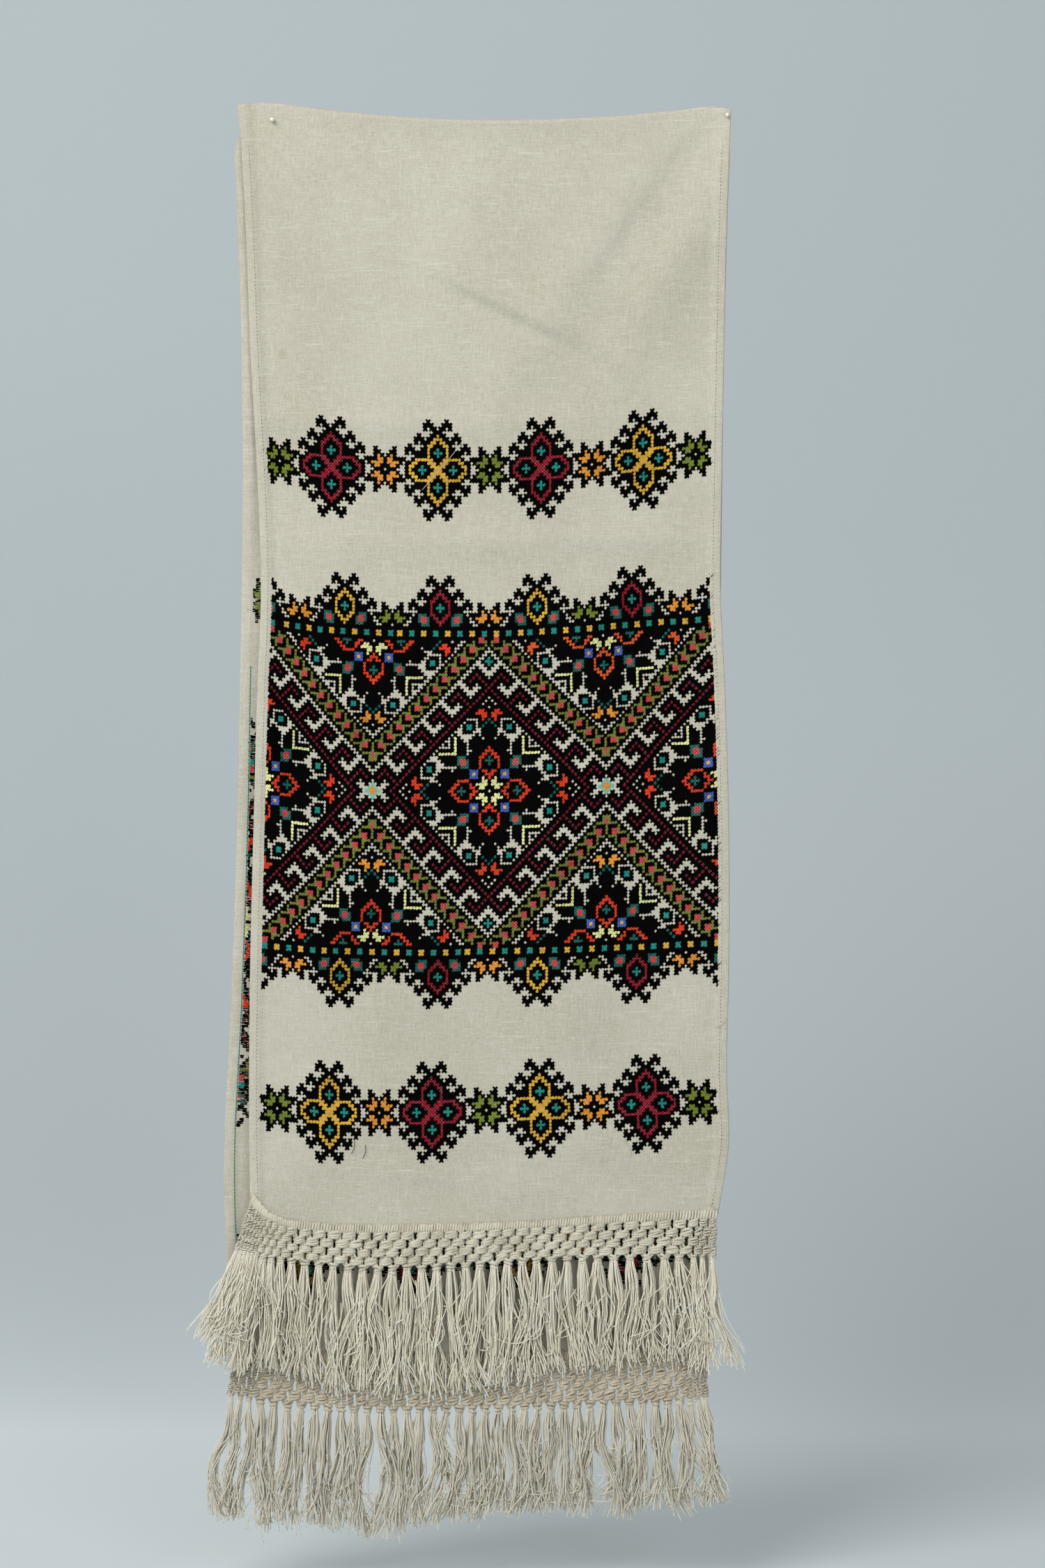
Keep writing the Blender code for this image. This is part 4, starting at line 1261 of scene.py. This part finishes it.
def yarn_material(name, stops, light_through):
    """Undyed soft-spun cotton: a twist, a little fuzz, and cream that varies along the yarn; the tones it
    is given also paint the light and shade of each part of the fringe.
    """
    made, tree, shader = new_material(name)
    place = object_place(tree)
    strands = noise_node(tree, place, 1.0, 2.0, (1100, 900, 160))
    shade = times(tree, plus(tree, noise_node(tree, place, 60.0, 3.0), strands), 0.5)
    tone = colour_ramp(tree, shade, stops)
    tree.links.new(tone, shader.inputs["Base Color"])
    set_inputs(shader, {"Roughness": 0.9, "Specular IOR Level": 0.15, "Sheen Weight": 0.45})
    bump_node(tree, plus(tree, strands, noise_node(tree, place, 2600.0, 3.0)), 0.0004, 0.8, shader)
    through = tree.nodes.new("ShaderNodeBsdfTranslucent")
    tree.links.new(tone, through.inputs["Color"])
    mixed = tree.nodes.new("ShaderNodeMixShader")
    set_inputs(mixed, {"Fac": light_through})
    tree.links.new(shader.outputs["BSDF"], mixed.inputs[1])
    tree.links.new(through.outputs["BSDF"], mixed.inputs[2])
    tree.links.new(mixed.outputs["Shader"], tree.nodes["Material Output"].inputs["Surface"])
    return made


# Painted shade: the front heading is the tassels' own yarn, drawn darker for the shade among its knots and
# wraps.
FRONT_HEADING_SHADE_TONES = [(0.33, (0.55, 0.50, 0.38)), (0.5, (0.73, 0.68, 0.545)), (0.68, (0.82, 0.78, 0.66))]
# Painted shade: the back heading is drawn darker and warmer still, for the shade that the front panel and
# its tassels cast on it.
BACK_HEADING_DEEP_SHADE_TONES = [(0.33, (0.44, 0.38, 0.27)), (0.5, (0.62, 0.54, 0.41)), (0.68, (0.74, 0.67, 0.53))]
# Painted light: the front tassels are drawn paler than the heading's yarn, for light that reaches in
# between their threads.
FRONT_TASSEL_LIGHT_TONES = [(0.33, (0.84, 0.77, 0.60)), (0.5, (0.95, 0.89, 0.72)), (0.68, (0.98, 0.94, 0.83))]
# Painted shade: the back tassels are the same yarn drawn darker and greyer, as painted shade.
BACK_TASSEL_SHADE_TONES = [(0.33, (0.66, 0.61, 0.48)), (0.5, (0.78, 0.73, 0.60)), (0.68, (0.86, 0.82, 0.71))]
knotted_cotton = {
    True: yarn_material("knotted_cotton", FRONT_HEADING_SHADE_TONES, 0.05),
    False: yarn_material("yellowed_knotted_cotton", BACK_HEADING_DEEP_SHADE_TONES, 0.05),
}
loose_cotton = {
    True: yarn_material("loose_cotton", FRONT_TASSEL_LIGHT_TONES, 0.02),
    False: yarn_material("greyed_loose_cotton", BACK_TASSEL_SHADE_TONES, 0.02),
}
for front, end_name in ((True, "front"), (False, "back")):
    yarn_dice = np.random.default_rng(7 if front else 8)
    node_name = end_name + "_fringe"
    heading = [whipped_edge(front, yarn_dice), knot_rows(front, yarn_dice), neck_wraps(front, yarn_dice)]
    piece = new_mesh_object(*joined(heading))
    finish_piece(piece, end_name + "_knotted_heading", node_name, knotted_cotton[front])
    threads = [tassel_threads(front, yarn_dice), loose_threads(front, yarn_dice)]
    piece = new_mesh_object(*joined(threads))
    finish_piece(piece, end_name + "_tassels", node_name, loose_cotton[front])

# The two pins. A glossy white ball on a steel shank; each is pushed through both layers of linen just
# under the top fold, and carries the whole towel.
PIN_HEAD_RADIUS = 0.00175
PIN_SHAFT_RADIUS = 0.0004
PIN_POINT_LENGTH = 0.0020
PIN_LENGTH = 0.015
PIN_CLEARANCE = 0.0004
PIN_SIDES = 28
PIN_HEAD_STEPS = 14
PIN_TIP_RADIUS = 0.00002


def pin_mesh(pin):
    """The ball and the shank, turned about the pin's own axis, and how many faces belong to the ball."""
    x, y, z = panel_point(True, np.array([pin.across]), np.array([pin.below_fold]))[0]
    face_y = y - 0.5 * HEM_THICKNESS - PIN_CLEARANCE
    ball_y = face_y - PIN_HEAD_RADIUS
    neck = math.asin(PIN_SHAFT_RADIUS / PIN_HEAD_RADIUS)
    angles = np.linspace(math.pi - 0.02, neck, PIN_HEAD_STEPS + 1)
    profile = [(PIN_HEAD_RADIUS * math.sin(a), ball_y + PIN_HEAD_RADIUS * math.cos(a)) for a in angles]
    end_y = face_y + PIN_LENGTH
    profile += [(PIN_SHAFT_RADIUS, end_y - PIN_POINT_LENGTH), (PIN_TIP_RADIUS, end_y)]
    turn = 2 * np.pi * np.arange(PIN_SIDES) / PIN_SIDES
    points = [(x + r * math.cos(a), along, z + r * math.sin(a)) for r, along in profile for a in turn]
    faces = []
    for ring in range(len(profile) - 1):
        for k in range(PIN_SIDES):
            here, after = ring * PIN_SIDES + k, ring * PIN_SIDES + (k + 1) % PIN_SIDES
            faces.append((here, here + PIN_SIDES, after + PIN_SIDES, after))
    faces.append(tuple(range(PIN_SIDES)))
    last = (len(profile) - 1) * PIN_SIDES
    faces.append(tuple(range(last + PIN_SIDES - 1, last - 1, -1)))
    return points, faces, PIN_HEAD_STEPS * PIN_SIDES


def pin_material(name, colour, roughness, metallic):
    """A smooth hard finish, a shade deeper in places."""
    stops = [(0.35, tuple(0.9 * c for c in colour)), (0.65, colour)]
    return mottled_material(name, 900.0, stops, {"Roughness": roughness, "Metallic": metallic})


pearl = pin_material("pin_ball_white", (0.88, 0.87, 0.83), 0.22, 0.0)
steel = pin_material("pin_steel", (0.62, 0.62, 0.62), 0.3, 1.0)
for pin in PINS:
    points, faces, ball_faces = pin_mesh(pin)
    pin_piece = new_mesh_object(points, faces)
    finish_piece(pin_piece, pin.name + "_ball_and_shank", pin.name, pearl)
    pin_piece.data.materials.append(steel)
    for polygon in pin_piece.data.polygons:
        in_ball = polygon.index < ball_faces or polygon.index == len(faces) - 2
        polygon.material_index = 0 if in_ball else 1

# The picture. The camera looks straight at the front panel, as the photograph does, with soft light
# from above and a little to the left, over a plain pale floor that sweeps up behind.
CAMERA_AWAY = 3.0
PANEL_FORWARD = 0.004
FRAME_MIDDLE = (0.0288, -0.5047)
FRAME_HEIGHT = 1.19025
SENSOR_LONG_SIDE = 36.0
camera_data = bpy.data.cameras.new("camera")
camera_data.sensor_width = SENSOR_LONG_SIDE
camera_data.lens = SENSOR_LONG_SIDE * (CAMERA_AWAY - PANEL_FORWARD) / FRAME_HEIGHT
camera = bpy.data.objects.new("camera", camera_data)
camera.location = (FRAME_MIDDLE[0], -CAMERA_AWAY, FRAME_MIDDLE[1])
camera.rotation_euler = (math.radians(90), 0, 0)
bpy.context.scene.collection.objects.link(camera)
bpy.context.scene.camera = camera

Lamp = namedtuple("Lamp", "name place aim size watts colour")
LAMPS = [
    Lamp("key_light", (-1.9, -2.8, 2.0), (0.0, 0.0, -0.45), 2.4, 136.0, (1.0, 0.985, 0.955)),
    Lamp("fill_light", (1.8, -4.6, 0.9), (0.0, 0.0, -0.9), 2.2, 48.0, (1.0, 0.985, 0.97)),
    Lamp("back_light", (-1.2, 3.6, 0.1), (0.0, 0.0, -0.5), 2.0, 80.0, (1.0, 0.99, 0.97)),
]
for lamp in LAMPS:
    light = bpy.data.lights.new(lamp.name, "AREA")
    light.energy = lamp.watts
    light.size = lamp.size
    light.color = lamp.colour
    holder = bpy.data.objects.new(lamp.name, light)
    holder.location = lamp.place
    aim = np.array(lamp.aim) - np.array(lamp.place)
    holder.rotation_euler = (
        math.atan2(math.hypot(aim[0], aim[1]), -aim[2]), 0, math.atan2(aim[1], aim[0]) - math.pi / 2
    )
    bpy.context.scene.collection.objects.link(holder)

world = bpy.data.worlds.new("studio")
world.use_nodes = True
set_inputs(world.node_tree.nodes["Background"], {"Color": (0.80, 0.83, 0.86, 1.0), "Strength": 0.34})
bpy.context.scene.world = world
bpy.context.scene.view_settings.view_transform = "Standard"

FLOOR_HEIGHT = -1.112
FLOOR_HALF_WIDTH = 6.0
FLOOR_NEAR_EDGE = -5.0
FLOOR_COLOUR = (0.53, 0.59, 0.615, 1.0)
SWEEP_START = 0.7
SWEEP_RADIUS = 0.9
SWEEP_STEPS = 16
SWEEP_TOP = 3.5
sweep = [(FLOOR_NEAR_EDGE, FLOOR_HEIGHT)]
for i in range(SWEEP_STEPS + 1):
    angle = 0.5 * math.pi * i / SWEEP_STEPS
    sweep.append((
        SWEEP_START + SWEEP_RADIUS * math.sin(angle),
        FLOOR_HEIGHT + SWEEP_RADIUS * (1 - math.cos(angle)),
    ))
sweep.append((SWEEP_START + SWEEP_RADIUS, SWEEP_TOP))
sweep_points = [(side * FLOOR_HALF_WIDTH, y, z) for y, z in sweep for side in (-1, 1)]
sweep_faces = [(2 * i, 2 * i + 1, 2 * i + 3, 2 * i + 2) for i in range(len(sweep) - 1)]
floor = new_mesh_object(np.array(sweep_points), sweep_faces)
floor.name = "floor"
floor.visible_shadow = False
pale, floor_tree, floor_shader = new_material("pale_floor")
set_inputs(floor_shader, {"Base Color": FLOOR_COLOUR, "Roughness": 0.9})
see_through = floor_tree.nodes.new("ShaderNodeBsdfTransparent")
one_sided = floor_tree.nodes.new("ShaderNodeMixShader")
facing = floor_tree.nodes.new("ShaderNodeNewGeometry")
floor_tree.links.new(facing.outputs["Backfacing"], one_sided.inputs["Fac"])
floor_tree.links.new(floor_shader.outputs["BSDF"], one_sided.inputs[1])
floor_tree.links.new(see_through.outputs["BSDF"], one_sided.inputs[2])
floor_tree.links.new(one_sided.outputs["Shader"], floor_tree.nodes["Material Output"].inputs["Surface"])
floor.data.materials.append(pale)
